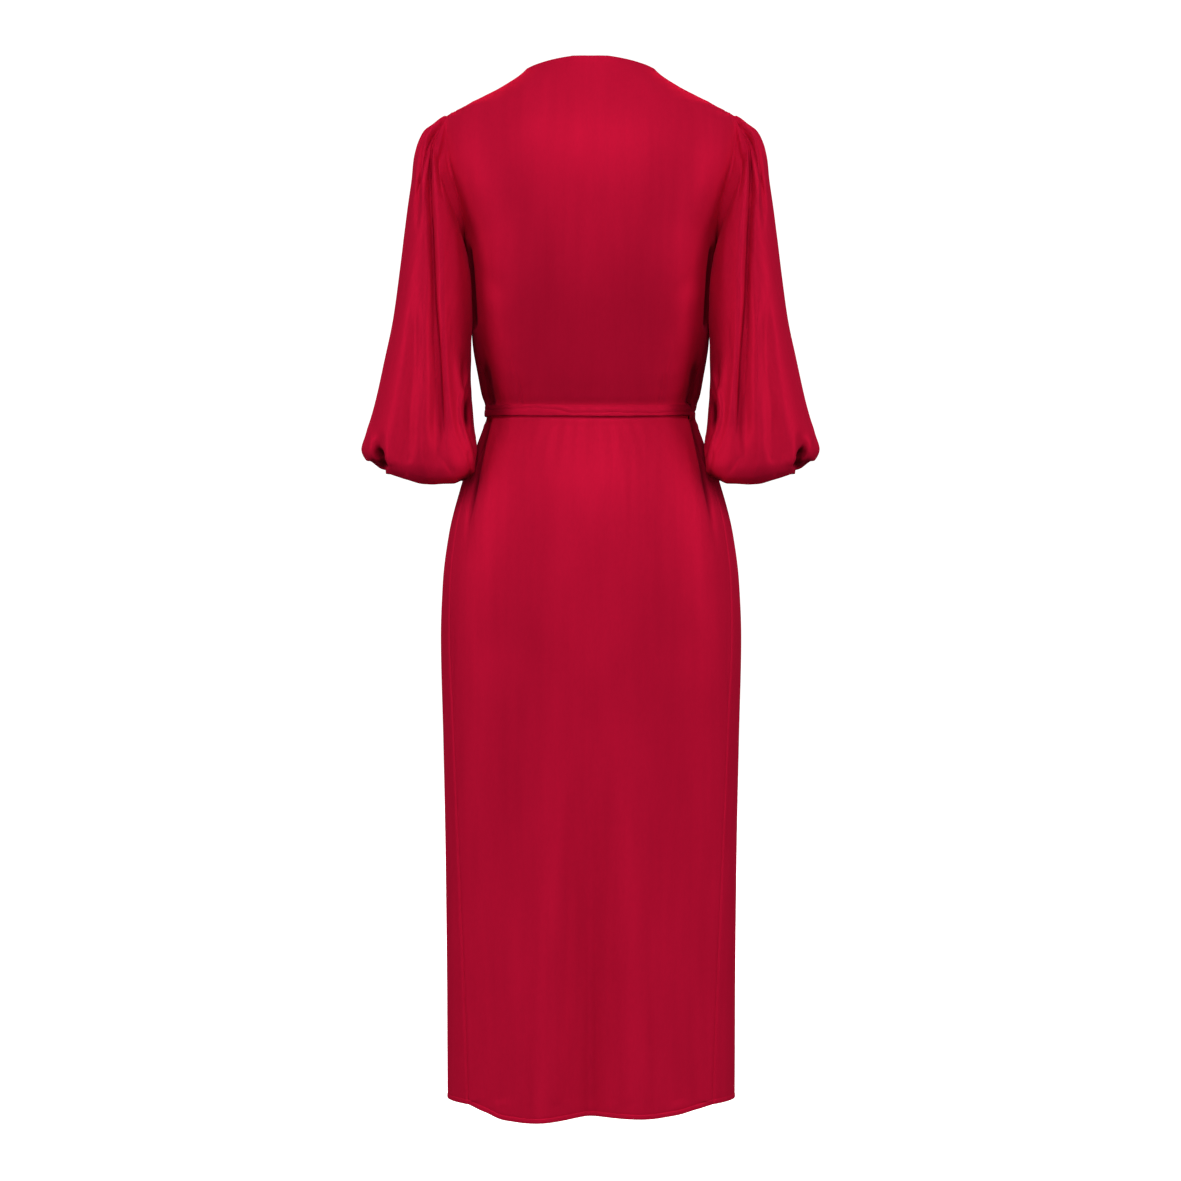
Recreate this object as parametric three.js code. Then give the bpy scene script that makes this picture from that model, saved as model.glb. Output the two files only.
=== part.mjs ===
// A wrap midi dress in red satin, filled out as it is worn, with nobody in it. Sizes are in millimetres.
// +Z is up, the front faces -Y and the wearer's left is +X. The origin lies midway between the neck ends of the two
// shoulder seams, where the wearer's shoulders carry the dress.
import * as THREE from "three";

// Cloth and seams.
const WALL = 1.2; // thickness of every cloth wall
const SEAM_GAP = 0.3; // between two pieces that are sewn edge to edge
const PLY_GAP = 0.6; // between a panel and the panel that lies on it
const OVERLAP_OUT = WALL + PLY_GAP; // how far out the upper wrap front lies over the lower one
const SATIN_RED = 0xb01230;
const SATIN_ROUGHNESS = 0.42;

// Heights along the dress, from the neck ends of the shoulder seams.
const WAIST_Z = -397;
const HEM_Z = -1201;
const SHOULDER_Z = -48; // outer end of the shoulder seam
const UNDERARM_Z = -200;
const FRONT_TOP_Z = -1; // the wrap fronts end just below the neck end of the shoulder seam

// Back neckline, an arch that is flat in the middle.
const NECK_RISE = 9;
const NECK_FLAT_HALF = 21;
const NECK_HALF = 78;
const NECK_POWER = 1.4;

// Armhole, an egg shape on the side of the body, wider below.
const ARMHOLE_MID_Z = (SHOULDER_Z + UNDERARM_Z) / 2;
const ARMHOLE_HALF_HEIGHT = (SHOULDER_Z - UNDERARM_Z) / 2;
const ARMHOLE_BACK = 50;
const ARMHOLE_FRONT = 55;
const ARMHOLE_EGG = 0.35;
const ARMHOLE_CORNERS = [0, 22, 44, 66, 88, 110, 132, 156, 180]; // its corners, in degrees from its top

// Cross-sections of the body of the dress: half-width, depth to the back and to the front, and how square it is.
const BODY = [
  { z: 40, half: 70, back: 48, front: 46, square: 2 },
  { z: 9, half: 73, back: 55, front: 52, square: 2 },
  { z: 0, half: 78, back: 62, front: 56, square: 2 },
  { z: -20, half: 106, back: 74, front: 65, square: 2 },
  { z: -35, half: 135, back: 83, front: 72, square: 2 },
  { z: -48, half: 162, back: 90, front: 78, square: 2.1 },
  { z: -60, half: 168.5, back: 95.5, front: 85, square: 2.2 },
  { z: -78, half: 172, back: 102, front: 93, square: 2.25 },
  { z: -103, half: 174, back: 109, front: 104, square: 2.3 },
  { z: -133, half: 170, back: 114, front: 114, square: 2.3 },
  { z: -165, half: 159, back: 117, front: 122, square: 2.3 },
  { z: -200, half: 147, back: 117, front: 129, square: 2.3 },
  { z: -250, half: 142, back: 113, front: 132, square: 2.25 },
  { z: -317, half: 138, back: 100, front: 114, square: 2.2 },
  { z: -359, half: 130, back: 90, front: 99, square: 2.2 },
  { z: -379, half: 123.5, back: 84, front: 92, square: 2.2 },
  { z: -389, half: 119.5, back: 81, front: 88.5, square: 2.2 },
  { z: -404, half: 119.5, back: 81, front: 88.5, square: 2.2 },
  { z: -415, half: 124, back: 85.5, front: 90.5, square: 2.2 },
  { z: -440, half: 135, back: 96, front: 95, square: 2.2 },
  { z: -485, half: 151.5, back: 112, front: 101, square: 2.2 },
  { z: -541, half: 165.5, back: 123, front: 105, square: 2.2 },
  { z: -598, half: 172.6, back: 127, front: 106, square: 2.2 },
  { z: -660, half: 175, back: 126, front: 105, square: 2.2 },
  { z: -780, half: 172.2, back: 119, front: 103, square: 2.2 },
  { z: -950, half: 168.5, back: 113, front: 102, square: 2.2 },
  { z: -1090, half: 166, back: 112, front: 104, square: 2.2 },
  { z: -1240, half: 165, back: 113, front: 107, square: 2.2 },
];

// Side seams: degrees round from the centre back. They lie a little behind the sides.
const SIDE_SEAM = [
  { z: -200, angle: 90 },
  { z: -300, angle: 82 },
  { z: -397, angle: 75 },
  { z: -640, angle: 72 },
  { z: -900, angle: 70 },
  { z: -1201, angle: 66 },
];

// Free edge of a wrap front: how far it stands to its own side of the centre. Below the crossing it passes over.
const WRAP_EDGE = [
  { z: 0, x: 78 },
  { z: -4, x: 76.8 },
  { z: -10, x: 75.3 },
  { z: -22, x: 73 },
  { z: -48, x: 68.5 },
  { z: -80, x: 61 },
  { z: -125, x: 45.5 },
  { z: -165, x: 29 },
  { z: -200, x: 14.5 },
  { z: -235, x: 0 },
  { z: -265, x: -14 },
  { z: -300, x: -34 },
  { z: -335, x: -55 },
  { z: -365, x: -75 },
  { z: -397, x: -96 },
  { z: -640, x: -92 },
  { z: -1201, x: -78 },
];

// Soft folds of the body: degrees round from the centre back (positive to the wearer's left) at the top and at the
// bottom of the fold, its width in degrees, its depth (negative is a valley), and where it starts and is deepest.
const BODY_FOLDS = [
  { top: 0, bottom: 0, width: 11, depth: -11, start: -600, full: -1150 },
  { top: 22, bottom: 29, width: 12, depth: 12, start: -700, full: -1170 },
  { top: -22, bottom: -29, width: 12, depth: 9, start: -700, full: -1170 },
  { top: 62, bottom: 58, width: 8, depth: -5, start: -720, full: -1170 },
  { top: -62, bottom: -58, width: 8, depth: -5, start: -720, full: -1170 },
  { top: 84, bottom: 84, width: 10, depth: 2, start: -820, full: -1170 },
  { top: -84, bottom: -84, width: 10, depth: 2, start: -820, full: -1170 },
  { top: 128, bottom: 118, width: 10, depth: -8, start: -560, full: -1150 },
  { top: 142, bottom: 140, width: 10, depth: 9, start: -520, full: -1150 },
  { top: 168, bottom: 176, width: 12, depth: -8, start: -640, full: -1150 },
  { top: -154, bottom: -150, width: 13, depth: 10, start: -620, full: -1150 },
  { top: -122, bottom: -120, width: 11, depth: -7, start: -700, full: -1150 },
];

// Folds that are drawn in by the belt: they are deepest beside it and fade out away from it.
const WAIST_FOLDS = [
  { angle: 72, width: 5, depth: -4, near: -379, far: -335 },
  { angle: -72, width: 5, depth: -4, near: -379, far: -335 },
  { angle: 62, width: 6, depth: -3.5, near: -418, far: -560 },
  { angle: -62, width: 6, depth: -3.5, near: -418, far: -560 },
];
const GATHERS = { spacing: 9.375, depth: 1.2, near: -404, full: -416, far: -505, span: 64 };

// The hem's own height: how far it hangs below or above level, by degrees round from the centre back.
const HEM_DROP = [
  { angle: -180, drop: 0 },
  { angle: -110, drop: -1 },
  { angle: -90, drop: -3 },
  { angle: -79, drop: -4.5 },
  { angle: -67, drop: -5 },
  { angle: -59, drop: -2 },
  { angle: -44, drop: 1.5 },
  { angle: -27, drop: 2.5 },
  { angle: 0, drop: 0.8 },
  { angle: 27, drop: 6.6 },
  { angle: 44, drop: 7 },
  { angle: 59, drop: 0.5 },
  { angle: 67, drop: -5 },
  { angle: 79, drop: -4.5 },
  { angle: 90, drop: -3 },
  { angle: 110, drop: -1 },
  { angle: 180, drop: 0 },
];
const HEM_SHIFT_START = -1060;

// The long tie of the belt: it leaves the edge of the lower wrap front inside the dress, comes out through a slot in
// the wearer's right side seam and goes round the back to the knot. `out` is its outer face's distance from the body.
const TIE = { top: -390, bottom: -403, crease: 0.3 };
const TIE_PATH = [
  { angle: -120, out: -0.35 },
  { angle: -113, out: -0.6 },
  { angle: -98, out: -2 },
  { angle: -84, out: -2.1 },
  { angle: -77.2, out: -2.1 },
  { angle: -76.3, out: -1.7 },
  { angle: -73.7, out: 1.6 },
  { angle: -72.4, out: 1.9 },
  { angle: -66, out: 1.8 },
  { angle: 116.5, out: 1.8 },
];
const TIE_STEPS = [-120, -113, -105, -98, -91, -84, -78.4, -77.2, -76.3, -75, -73.7, -72.4, -71.2, -66];
const TIE_COLUMNS = 40; // evenly spaced from the last step to the knot
const SLOT = { cut: 2.3, open: 8.4, shut: 10.6 }; // how far each edge of the slot is cut back, and its half-heights
const SHORT_TIE = { from: 121.6, to: 129, out: 3.3 }; // sewn on the upper wrap front's edge

// The knot at the wearer's left front, and the two ends that hang from under it.
const KNOT = { angle: 118.6, z: -396, half: 12, height: 9, depth: 8, out: 6.4 };
const TAILS = [
  { name: "belt_end_upper", out: 4.95, top: -399, bottom: -770, angle: 118.8, swing: 4.5, width: 11 },
  { name: "belt_end_lower", out: 3.4, top: -399, bottom: -815, angle: 118.2, swing: -3.5, width: 11 },
];
const TAIL_ROWS = 14;

// Left sleeve: where each cross-section's outer, inner, back and front points are, from the armhole (run 0) down to
// the widest place (run 0.95), round the bloused bottom and up inside to the cuff (run 1.12).
const SLEEVE = [
  { run: 0, outX: 162, outZ: -48, inX: 147, inZ: -200, back: 50, backZ: -124, front: 55, frontZ: -124, shift: 0 },
  { run: 0.05, outX: 181, outZ: -60, inX: 148.5, inZ: -208, back: 58, backZ: -134, front: 60, frontZ: -134, shift: 1 },
  { run: 0.1, outX: 192.5, outZ: -70, inX: 143, inZ: -217, back: 62, backZ: -144, front: 63, frontZ: -144, shift: 3 },
  { run: 0.18, outX: 201.5, outZ: -90, inX: 137, inZ: -234, back: 65, backZ: -163, front: 65, frontZ: -163, shift: 6 },
  { run: 0.3, outX: 209.5, outZ: -137, inX: 133.5, inZ: -262, back: 66, backZ: -200, front: 66, frontZ: -200, shift: 10 },
  { run: 0.42, outX: 216, outZ: -185, inX: 134, inZ: -293, back: 67, backZ: -240, front: 67, frontZ: -240, shift: 12 },
  { run: 0.54, outX: 222, outZ: -235, inX: 138, inZ: -325, back: 69, backZ: -281, front: 70, frontZ: -281, shift: 13 },
  { run: 0.66, outX: 229.5, outZ: -290, inX: 139.5, inZ: -358, back: 72, backZ: -326, front: 72, frontZ: -325, shift: 13 },
  { run: 0.76, outX: 239.5, outZ: -339, inX: 137.5, inZ: -390, back: 75, backZ: -368, front: 75, frontZ: -366, shift: 13 },
  { run: 0.85, outX: 250, outZ: -386, inX: 135, inZ: -420, back: 78, backZ: -409, front: 76, frontZ: -404, shift: 14 },
  { run: 0.92, outX: 260, outZ: -421, inX: 127, inZ: -446, back: 79, backZ: -443, front: 76, frontZ: -434, shift: 14 },
  { run: 0.96, outX: 266.5, outZ: -442, inX: 122, inZ: -461, back: 78, backZ: -462, front: 74, frontZ: -455, shift: 14 },
  { run: 1, outX: 261, outZ: -455, inX: 123, inZ: -472, back: 73, backZ: -477, front: 70, frontZ: -470, shift: 12 },
  { run: 1.04, outX: 252.5, outZ: -460, inX: 138, inZ: -477, back: 64, backZ: -483, front: 62, frontZ: -478, shift: 8 },
  { run: 1.08, outX: 246, outZ: -461, inX: 149.5, inZ: -472, back: 54, backZ: -476, front: 53, frontZ: -472, shift: 3 },
  { run: 1.12, outX: 240.6, outZ: -457.2, inX: 153.4, inZ: -457.2, back: 43.6, backZ: -457.2, front: 43.6, frontZ: -457.2, shift: 0 },
];
const SLEEVE_RUNS = [0, 0.025, 0.06, 0.11, 0.18, 0.3, 0.44, 0.58, 0.72, 0.84, 0.93, 1, 1.04, 1.08, 1.12];
const SLEEVE_COLUMNS = 48;
const SLEEVE_CLEAR = 2; // between the sleeve and the body of the dress
const SLEEVE_SQUARE = 2.25;
const ARMHOLE_REACH = 0.14; // the run over which the sleeve leaves the shape of the armhole

// How far the cloth's lengthwise lines crowd towards the top of the sleeve (negative) or towards its inner side.
const SLEEVE_SPREAD = [
  { run: 0, spread: -0.82 },
  { run: 0.3, spread: -0.29 },
  { run: 0.6, spread: 0.1 },
  { run: 0.85, spread: 0.3 },
  { run: 1.12, spread: 0.15 },
];

// Sleeve folds: degrees round from the top line (positive to the back), width in degrees, depth (negative is a
// valley), and the stretch of run that they hold. The first ones are the pleats of the sleeve head.
const SLEEVE_FOLDS = [
  { angle: 60, width: 6, depth: -5.5, start: 0.01, end: 0.4 },
  { angle: 75, width: 6, depth: 3.5, start: 0.01, end: 0.34 },
  { angle: 90, width: 7, depth: -6.5, start: 0.01, end: 0.96 },
  { angle: 105, width: 8, depth: 3, start: 0.04, end: 0.9 },
  { angle: 112.5, width: 5, depth: -4, start: 0.01, end: 0.18 },
  { angle: 22.5, width: 8, depth: 2, start: 0.01, end: 0.3 },
  { angle: 37.5, width: 6, depth: -2.5, start: 0.01, end: 0.24 },
  { angle: 60, width: 8, depth: -4, start: 0.56, end: 1.04 },
  { angle: 75, width: 8, depth: 3, start: 0.5, end: 1.02 },
  { angle: 127.5, width: 8, depth: 3, start: 0.6, end: 1.02 },
  { angle: 142.5, width: 8, depth: -6, start: 0.56, end: 1.03 },
  { angle: 37.5, width: 6, depth: -9, start: 0.9, end: 1.11 },
  { angle: -22.5, width: 7, depth: 2, start: 0.01, end: 0.28 },
  { angle: -45, width: 6, depth: -5, start: 0.01, end: 0.36 },
  { angle: -60, width: 6, depth: 3, start: 0.01, end: 0.34 },
  { angle: -75, width: 7, depth: -6, start: 0.01, end: 0.92 },
  { angle: -97.5, width: 8, depth: 3, start: 0.06, end: 0.9 },
  { angle: -112.5, width: 7, depth: -5, start: 0.5, end: 1.02 },
  { angle: -135, width: 9, depth: 3, start: 0.5, end: 1.02 },
  { angle: -37.5, width: 7, depth: -6, start: 0.88, end: 1.1 },
];
const CUFF_GATHERS = { count: 16, depth: 2.2, start: 1.0, full: 1.08, end: 1.12, endDepth: 0.6 };
const CUFF = { x: 197, radius: 42.6, top: -457.5, bottom: -470, columns: 32 };

const radians = THREE.MathUtils.degToRad;
const degrees = THREE.MathUtils.radToDeg;

// Smoothly from 0 at `from` to 1 at `to`, whichever is larger.
function ramp(value, from, to) {
  const share = Math.min(1, Math.max(0, (value - from) / (to - from)));
  return share * share * (3 - 2 * share);
}

// A soft bump, 1 in the middle and narrow at both ends.
const bump = (away, width) => Math.exp(-((away / width) ** 2));

// The smallest turn between two angles in degrees.
const turnBetween = (a, b) => ((((a - b) % 360) + 540) % 360) - 180;

// Reads one column of a table at any value of its key, on a smooth curve that never overshoots its rows.
function readTable(rows, key, column, value) {
  const rising = rows[0][key] < rows[rows.length - 1][key];
  const list = rising ? rows : [...rows].reverse();
  const clamped = Math.min(list[list.length - 1][key], Math.max(list[0][key], value));
  const last = list.length - 2;
  const found = list.findIndex((row, i) => i === last || clamped <= list[i + 1][key]);
  const slopeOf = (i) => (list[i + 1][column] - list[i][column]) / (list[i + 1][key] - list[i][key]);
  const slopeAt = (i) => {
    if (i === 0) return slopeOf(0);
    if (i === list.length - 1) return slopeOf(i - 1);
    const [before, after] = [slopeOf(i - 1), slopeOf(i)];
    return before * after <= 0 ? 0 : (2 * before * after) / (before + after);
  };
  const step = list[found + 1][key] - list[found][key];
  const t = (clamped - list[found][key]) / step;
  const start = list[found][column] * (1 + 2 * t) * (1 - t) ** 2 + list[found + 1][column] * t * t * (3 - 2 * t);
  return start + step * (slopeAt(found) * t * (1 - t) ** 2 + slopeAt(found + 1) * t * t * (t - 1));
}

const bodySize = (column, z) => readTable(BODY, "z", column, z);
const depthOf = (theta, z) => bodySize(Math.cos(theta) >= 0 ? "back" : "front", z);

// How far folds and gathers move the body's cloth out at an angle round from the centre back and a height.
function bodyFold(theta, z) {
  const angle = degrees(theta);
  let out = 0;
  for (const fold of BODY_FOLDS) {
    const share = ramp(z, fold.start, fold.full);
    const middle = fold.top + (fold.bottom - fold.top) * share;
    out += fold.depth * share * bump(turnBetween(angle, middle), fold.width);
  }
  for (const fold of WAIST_FOLDS) {
    const beside = (fold.near > WAIST_Z) === (z > WAIST_Z);
    const clearOfBelt = ramp(Math.abs(z - WAIST_Z), SLOT.open, Math.abs(fold.near - WAIST_Z));
    const share = beside ? ramp(z, fold.far, fold.near) * clearOfBelt : 0;
    out += fold.depth * share * bump(turnBetween(angle, fold.angle), fold.width);
  }
  const inSpan = ramp(Math.abs(turnBetween(angle, 0)), GATHERS.span, GATHERS.span - 12);
  const gathered = ramp(z, GATHERS.near, GATHERS.full) * ramp(z, GATHERS.far, GATHERS.full) * inSpan;
  return out + GATHERS.depth * gathered * Math.cos((2 * Math.PI * turnBetween(angle, 0)) / GATHERS.spacing);
}

// A point of the body's outer face, before any ply lies on it.
function bodySurface(theta, z) {
  const square = bodySize("square", z);
  const across = Math.abs(Math.sin(theta) / bodySize("half", z)) ** square;
  const along = Math.abs(Math.cos(theta) / depthOf(theta, z)) ** square;
  const radius = (across + along) ** (-1 / square) + bodyFold(theta, z);
  const drop = readTable(HEM_DROP, "angle", "drop", turnBetween(degrees(theta), 0));
  const lowered = z - drop * ramp(z, HEM_SHIFT_START, HEM_Z);
  return new THREE.Vector3(radius * Math.sin(theta), radius * Math.cos(theta), lowered);
}

// The outward direction of a surface that is a function of two parameters, `outward` being roughly that way.
function normalOf(surface, u, v, stepU, stepV, outward) {
  const alongU = surface(u + stepU, v).sub(surface(u - stepU, v));
  const alongV = surface(u, v + stepV).sub(surface(u, v - stepV));
  const normal = alongU.cross(alongV).normalize();
  return normal.dot(outward) < 0 ? normal.negate() : normal;
}

// A point of the body moved out from its outer face by `out`.
function bodyPoint(theta, z, out) {
  const outward = new THREE.Vector3(Math.sin(theta), Math.cos(theta), 0);
  const normal = normalOf(bodySurface, theta, z, radians(0.4), 0.8, outward);
  return bodySurface(theta, z).addScaledVector(normal, out);
}

// The angle round the body at which its outline reaches `x`, on the back or on the front.
function angleAtX(x, z, side) {
  const square = bodySize("square", z);
  const depth = bodySize(side, z);
  const share = Math.min(1, Math.abs(x) / bodySize("half", z));
  const y = depth * (1 - share ** square) ** (1 / square);
  return side === "back" ? Math.atan2(x, y) : Math.PI - Math.atan2(x, y);
}

// The angle at which the body's outline reaches `y` in front of or behind its side.
function angleAtY(y, z, side) {
  const square = bodySize("square", z);
  const share = y / bodySize(side, z);
  const x = bodySize("half", z) * (1 - share ** square) ** (1 / square);
  return side === "back" ? Math.atan2(x, y) : Math.PI - Math.atan2(x, y);
}

// Half the seam gap as an angle round the body.
const seamAngle = (z) => SEAM_GAP / 2 / bodySize("half", z);

// How far the wearer's right side seam is cut back on each side, as an angle, where the belt passes through it.
const slotAngle = (z) => (SLOT.cut / bodySize("half", z)) * ramp(Math.abs(z - WAIST_Z), SLOT.shut, SLOT.open);

// Where the armhole's edge stands at a height, as a distance in y from the side.
function armholeY(z, depth) {
  const rise = Math.min(1, Math.abs((z - ARMHOLE_MID_Z) / ARMHOLE_HALF_HEIGHT)) * Math.sign(z - ARMHOLE_MID_Z);
  return depth * Math.sqrt(1 - rise * rise) * (1 - ARMHOLE_EGG * rise);
}

// The outer boundary of a bodice panel: side seam, then armhole, then shoulder seam.
function bodiceSide(z, side) {
  const sign = side === "back" ? -1 : 1;
  if (z <= UNDERARM_Z) return radians(readTable(SIDE_SEAM, "z", "angle", z)) + sign * seamAngle(z);
  if (z >= SHOULDER_Z) return Math.PI / 2 + sign * seamAngle(z);
  const depth = side === "back" ? ARMHOLE_BACK : ARMHOLE_FRONT;
  return angleAtY(armholeY(z, depth) + SEAM_GAP / 2, z, side);
}

// The back neckline above the shoulder seams' neck ends, and the shoulder and side below it.
function backSide(z) {
  if (z <= 0) return bodiceSide(z, "back");
  const x = NECK_FLAT_HALF + (NECK_HALF - NECK_FLAT_HALF) * (1 - z / NECK_RISE) ** (1 / NECK_POWER);
  return angleAtX(x, z, "back");
}

const wrapEdge = (z) => angleAtX(readTable(WRAP_EDGE, "z", "x", z), z, "front");
const skirtSide = (z, side) =>
  radians(readTable(SIDE_SEAM, "z", "angle", z)) + (side === "back" ? -1 : 1) * seamAngle(z);

// A closed wall between two grids of points, outer and inner. With `tube`, the columns close on themselves; with
// `flip`, the quads are split the other way, so that a mirrored panel's faces match the ones that it lies on.
function wallGeometry(outer, inner, { tube = false, flip = false } = {}) {
  const [rows, columns] = [outer.length, outer[0].length];
  const points = [...outer.flat(), ...inner.flat()];
  const index = [];
  const at = (layer, row, column) => layer * rows * columns + row * columns + (column % columns);
  const quad = (a, b, c, d) => (flip ? index.push(b, c, d, b, d, a) : index.push(a, b, c, a, c, d));
  const lastColumn = tube ? columns : columns - 1;
  for (let row = 0; row < rows - 1; row++) {
    for (let column = 0; column < lastColumn; column++) {
      const corners = [
        [row, column],
        [row, column + 1],
        [row + 1, column + 1],
        [row + 1, column],
      ];
      const [a, b, c, d] = corners.map(([r, k]) => at(0, r, k));
      const [e, f, g, h] = corners.map(([r, k]) => at(1, r, k));
      quad(a, b, c, d);
      if (flip) index.push(f, e, h, f, h, g);
      else index.push(e, g, f, e, h, g);
    }
  }
  for (let column = 0; column < lastColumn; column++) {
    quad(at(0, 0, column), at(1, 0, column), at(1, 0, column + 1), at(0, 0, column + 1));
    const row = rows - 1;
    quad(at(0, row, column), at(0, row, column + 1), at(1, row, column + 1), at(1, row, column));
  }
  for (let row = 0; row < rows - 1 && !tube; row++) {
    quad(at(0, row, 0), at(0, row + 1, 0), at(1, row + 1, 0), at(1, row, 0));
    const column = columns - 1;
    quad(at(0, row, column), at(1, row, column), at(1, row + 1, column), at(0, row + 1, column));
  }
  return facingOut(points, index);
}

// A geometry whose faces point out, whichever way round its points were given.
function facingOut(points, index) {
  let volume = 0;
  for (let i = 0; i < index.length; i += 3) {
    const [a, b, c] = [0, 1, 2].map((corner) => points[index[i + corner]]);
    volume += a.dot(new THREE.Vector3().crossVectors(b, c));
  }
  const turned = volume < 0 ? [...index].reverse() : index;
  const geometry = new THREE.BufferGeometry().setFromPoints(points).setIndex(turned);
  geometry.computeVertexNormals();
  return geometry;
}

// A list of angles between `from` and `to`, evenly spaced, with both ends.
const evenly = (from, to, columns) => Array.from({ length: columns + 1 }, (_, i) => from + ((to - from) * i) / columns);

// A panel of the body over a list of heights. `anglesAt` gives its columns' angles at a height, `out` its outer
// face's distance from the body and `side` is -1 for the mirrored one.
function bodyPanel({ heights, anglesAt, out = () => 0, side = 1, flip = false }) {
  const face = (depth) =>
    heights.map((z) => anglesAt(z).map((theta) => bodyPoint(side * theta, z, out(theta, z) - depth)));
  return wallGeometry(face(0), face(WALL), { flip });
}

// The upper wrap front leaves the body's face at its side seam and armhole, and lies over the lower front from there.
const overlapOut = (theta, z) => OVERLAP_OUT * ramp(theta - bodiceSide(z, "front"), 0, radians(26));

const armholeHeights = ARMHOLE_CORNERS.slice(1, -1)
  .reverse()
  .map((turn) => ARMHOLE_MID_Z + ARMHOLE_HALF_HEIGHT * Math.cos(radians(turn)));
const BODICE_HEIGHTS = [
  ...[WAIST_Z + SEAM_GAP / 2, WAIST_Z + SLOT.open, WAIST_Z + SLOT.shut, -378, -360, -335, -300, -265, -232],
  ...[UNDERARM_Z, ...armholeHeights, SHOULDER_Z],
];
const SKIRT_HEIGHTS = [
  ...[WAIST_Z - SEAM_GAP / 2, WAIST_Z - SLOT.open, WAIST_Z - SLOT.shut, -416, -440, -485, -541, -620, -720, -840],
  ...[-960, -1080, HEM_Z],
];

const bodiceBack = () =>
  bodyPanel({
    heights: [...BODICE_HEIGHTS, -40, -31, -20, -9, 0, 0.8, 2.8, 5.4, 7.8, NECK_RISE],
    anglesAt: (z) => evenly(slotAngle(z) - backSide(z), backSide(z), 18),
  });

const bodiceFront = (side, out) =>
  bodyPanel({
    heights: [...BODICE_HEIGHTS, -40, -31, -20, -9, -4, FRONT_TOP_Z],
    anglesAt: (z) => evenly(bodiceSide(z, "front") + (side < 0 ? slotAngle(z) : 0), wrapEdge(z), 14),
    out,
    side,
  });

const skirtBack = () =>
  bodyPanel({
    heights: SKIRT_HEIGHTS,
    anglesAt: (z) => evenly(slotAngle(z) - skirtSide(z, "back"), skirtSide(z, "back"), 48),
  });

// Where the two skirt fronts overlap they share their columns' angles, so the upper one follows the lower one.
const skirtFront = (side, out) =>
  bodyPanel({
    heights: SKIRT_HEIGHTS,
    anglesAt: (z) => {
      const [start, end] = [skirtSide(z, "front") + (side < 0 ? slotAngle(z) : 0), wrapEdge(z)];
      const overlap = 2 * Math.PI - end;
      return [...evenly(start, overlap, 7), ...evenly(overlap, end, 15).slice(1)];
    },
    out,
    side,
    flip: side < 0,
  });

// A point of the belt: the waist ring moved out, at a height within the belt's width.
function beltPoint(theta, z, out) {
  const ring = bodyPoint(theta, WAIST_Z, out);
  return new THREE.Vector3(ring.x, ring.y, z);
}

// A flat tie along the waist through a list of angles, creased along its middle. `out` is its outer face's distance.
function tieGeometry(angles, out) {
  const middle = (TIE.top + TIE.bottom) / 2;
  const rows = [
    { z: TIE.top, crease: 0 },
    { z: middle, crease: TIE.crease },
    { z: TIE.bottom, crease: 0 },
  ];
  const face = (depth) =>
    rows.map(({ z, crease }) => angles.map((angle) => beltPoint(radians(angle), z, out(angle) + crease - depth)));
  return wallGeometry(face(0), face(WALL));
}

// The long tie from the lower wrap front's edge, out through the slot and round the back to the knot.
function longTie() {
  const [start, end] = [TIE_STEPS[TIE_STEPS.length - 1], TIE_PATH[TIE_PATH.length - 1].angle];
  const even = Array.from({ length: TIE_COLUMNS }, (_, i) => start + ((end - start) * (i + 1)) / TIE_COLUMNS);
  return tieGeometry([...TIE_STEPS, ...even], (angle) => readTable(TIE_PATH, "angle", "out", angle));
}

// The short tie, sewn on the edge of the upper wrap front.
function shortTie() {
  const middle = (SHORT_TIE.from + SHORT_TIE.to) / 2;
  return tieGeometry([SHORT_TIE.from, middle, SHORT_TIE.to], () => SHORT_TIE.out);
}

// The knot: a small rounded lump, flat where it lies on the belt.
function knotGeometry() {
  const seat = beltPoint(radians(KNOT.angle), KNOT.z, KNOT.out);
  const ball = new THREE.SphereGeometry(1, 16, 9);
  const flat = -0.3;
  const place = ball.getAttribute("position");
  for (let i = 0; i < place.count; i++) {
    const lift = Math.max(flat, place.getZ(i)) - flat;
    place.setXYZ(i, place.getX(i) * KNOT.half, place.getY(i) * KNOT.height, (lift * KNOT.depth) / (1 - flat));
  }
  const frame = new THREE.Matrix4();
  const out = new THREE.Vector3(Math.sin(radians(KNOT.angle)), Math.cos(radians(KNOT.angle)), 0);
  const up = new THREE.Vector3(0, 0, 1);
  frame.makeBasis(new THREE.Vector3().crossVectors(up, out), up, out).setPosition(seat);
  return ball.applyMatrix4(frame);
}

// A hanging end of the belt: a strip that falls from the knot over the skirt, swinging to one side.
function tailGeometry({ out, top, bottom, angle, swing, width }) {
  const face = (distance) => {
    const rows = [];
    for (let i = 0; i <= TAIL_ROWS; i++) {
      const share = i / TAIL_ROWS;
      const z = top + (bottom - top) * share * (0.25 + 0.75 * share);
      const middle = radians(angle + swing * Math.sqrt(share) + 0.8 * Math.sin(share * 7));
      const half = width / 2 / bodySize("half", z);
      rows.push([-half, 0, half].map((away) => bodyPoint(middle + away, z, distance)));
    }
    return rows;
  };
  return wallGeometry(face(out), face(out - WALL));
}

const sleeveSize = (column, run) => readTable(SLEEVE, "run", column, run);

// The angle round a cross-section that a lengthwise line of the cloth has reached.
const spreadAngle = (line, run) => line + readTable(SLEEVE_SPREAD, "run", "spread", run) * Math.sin(line);

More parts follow.
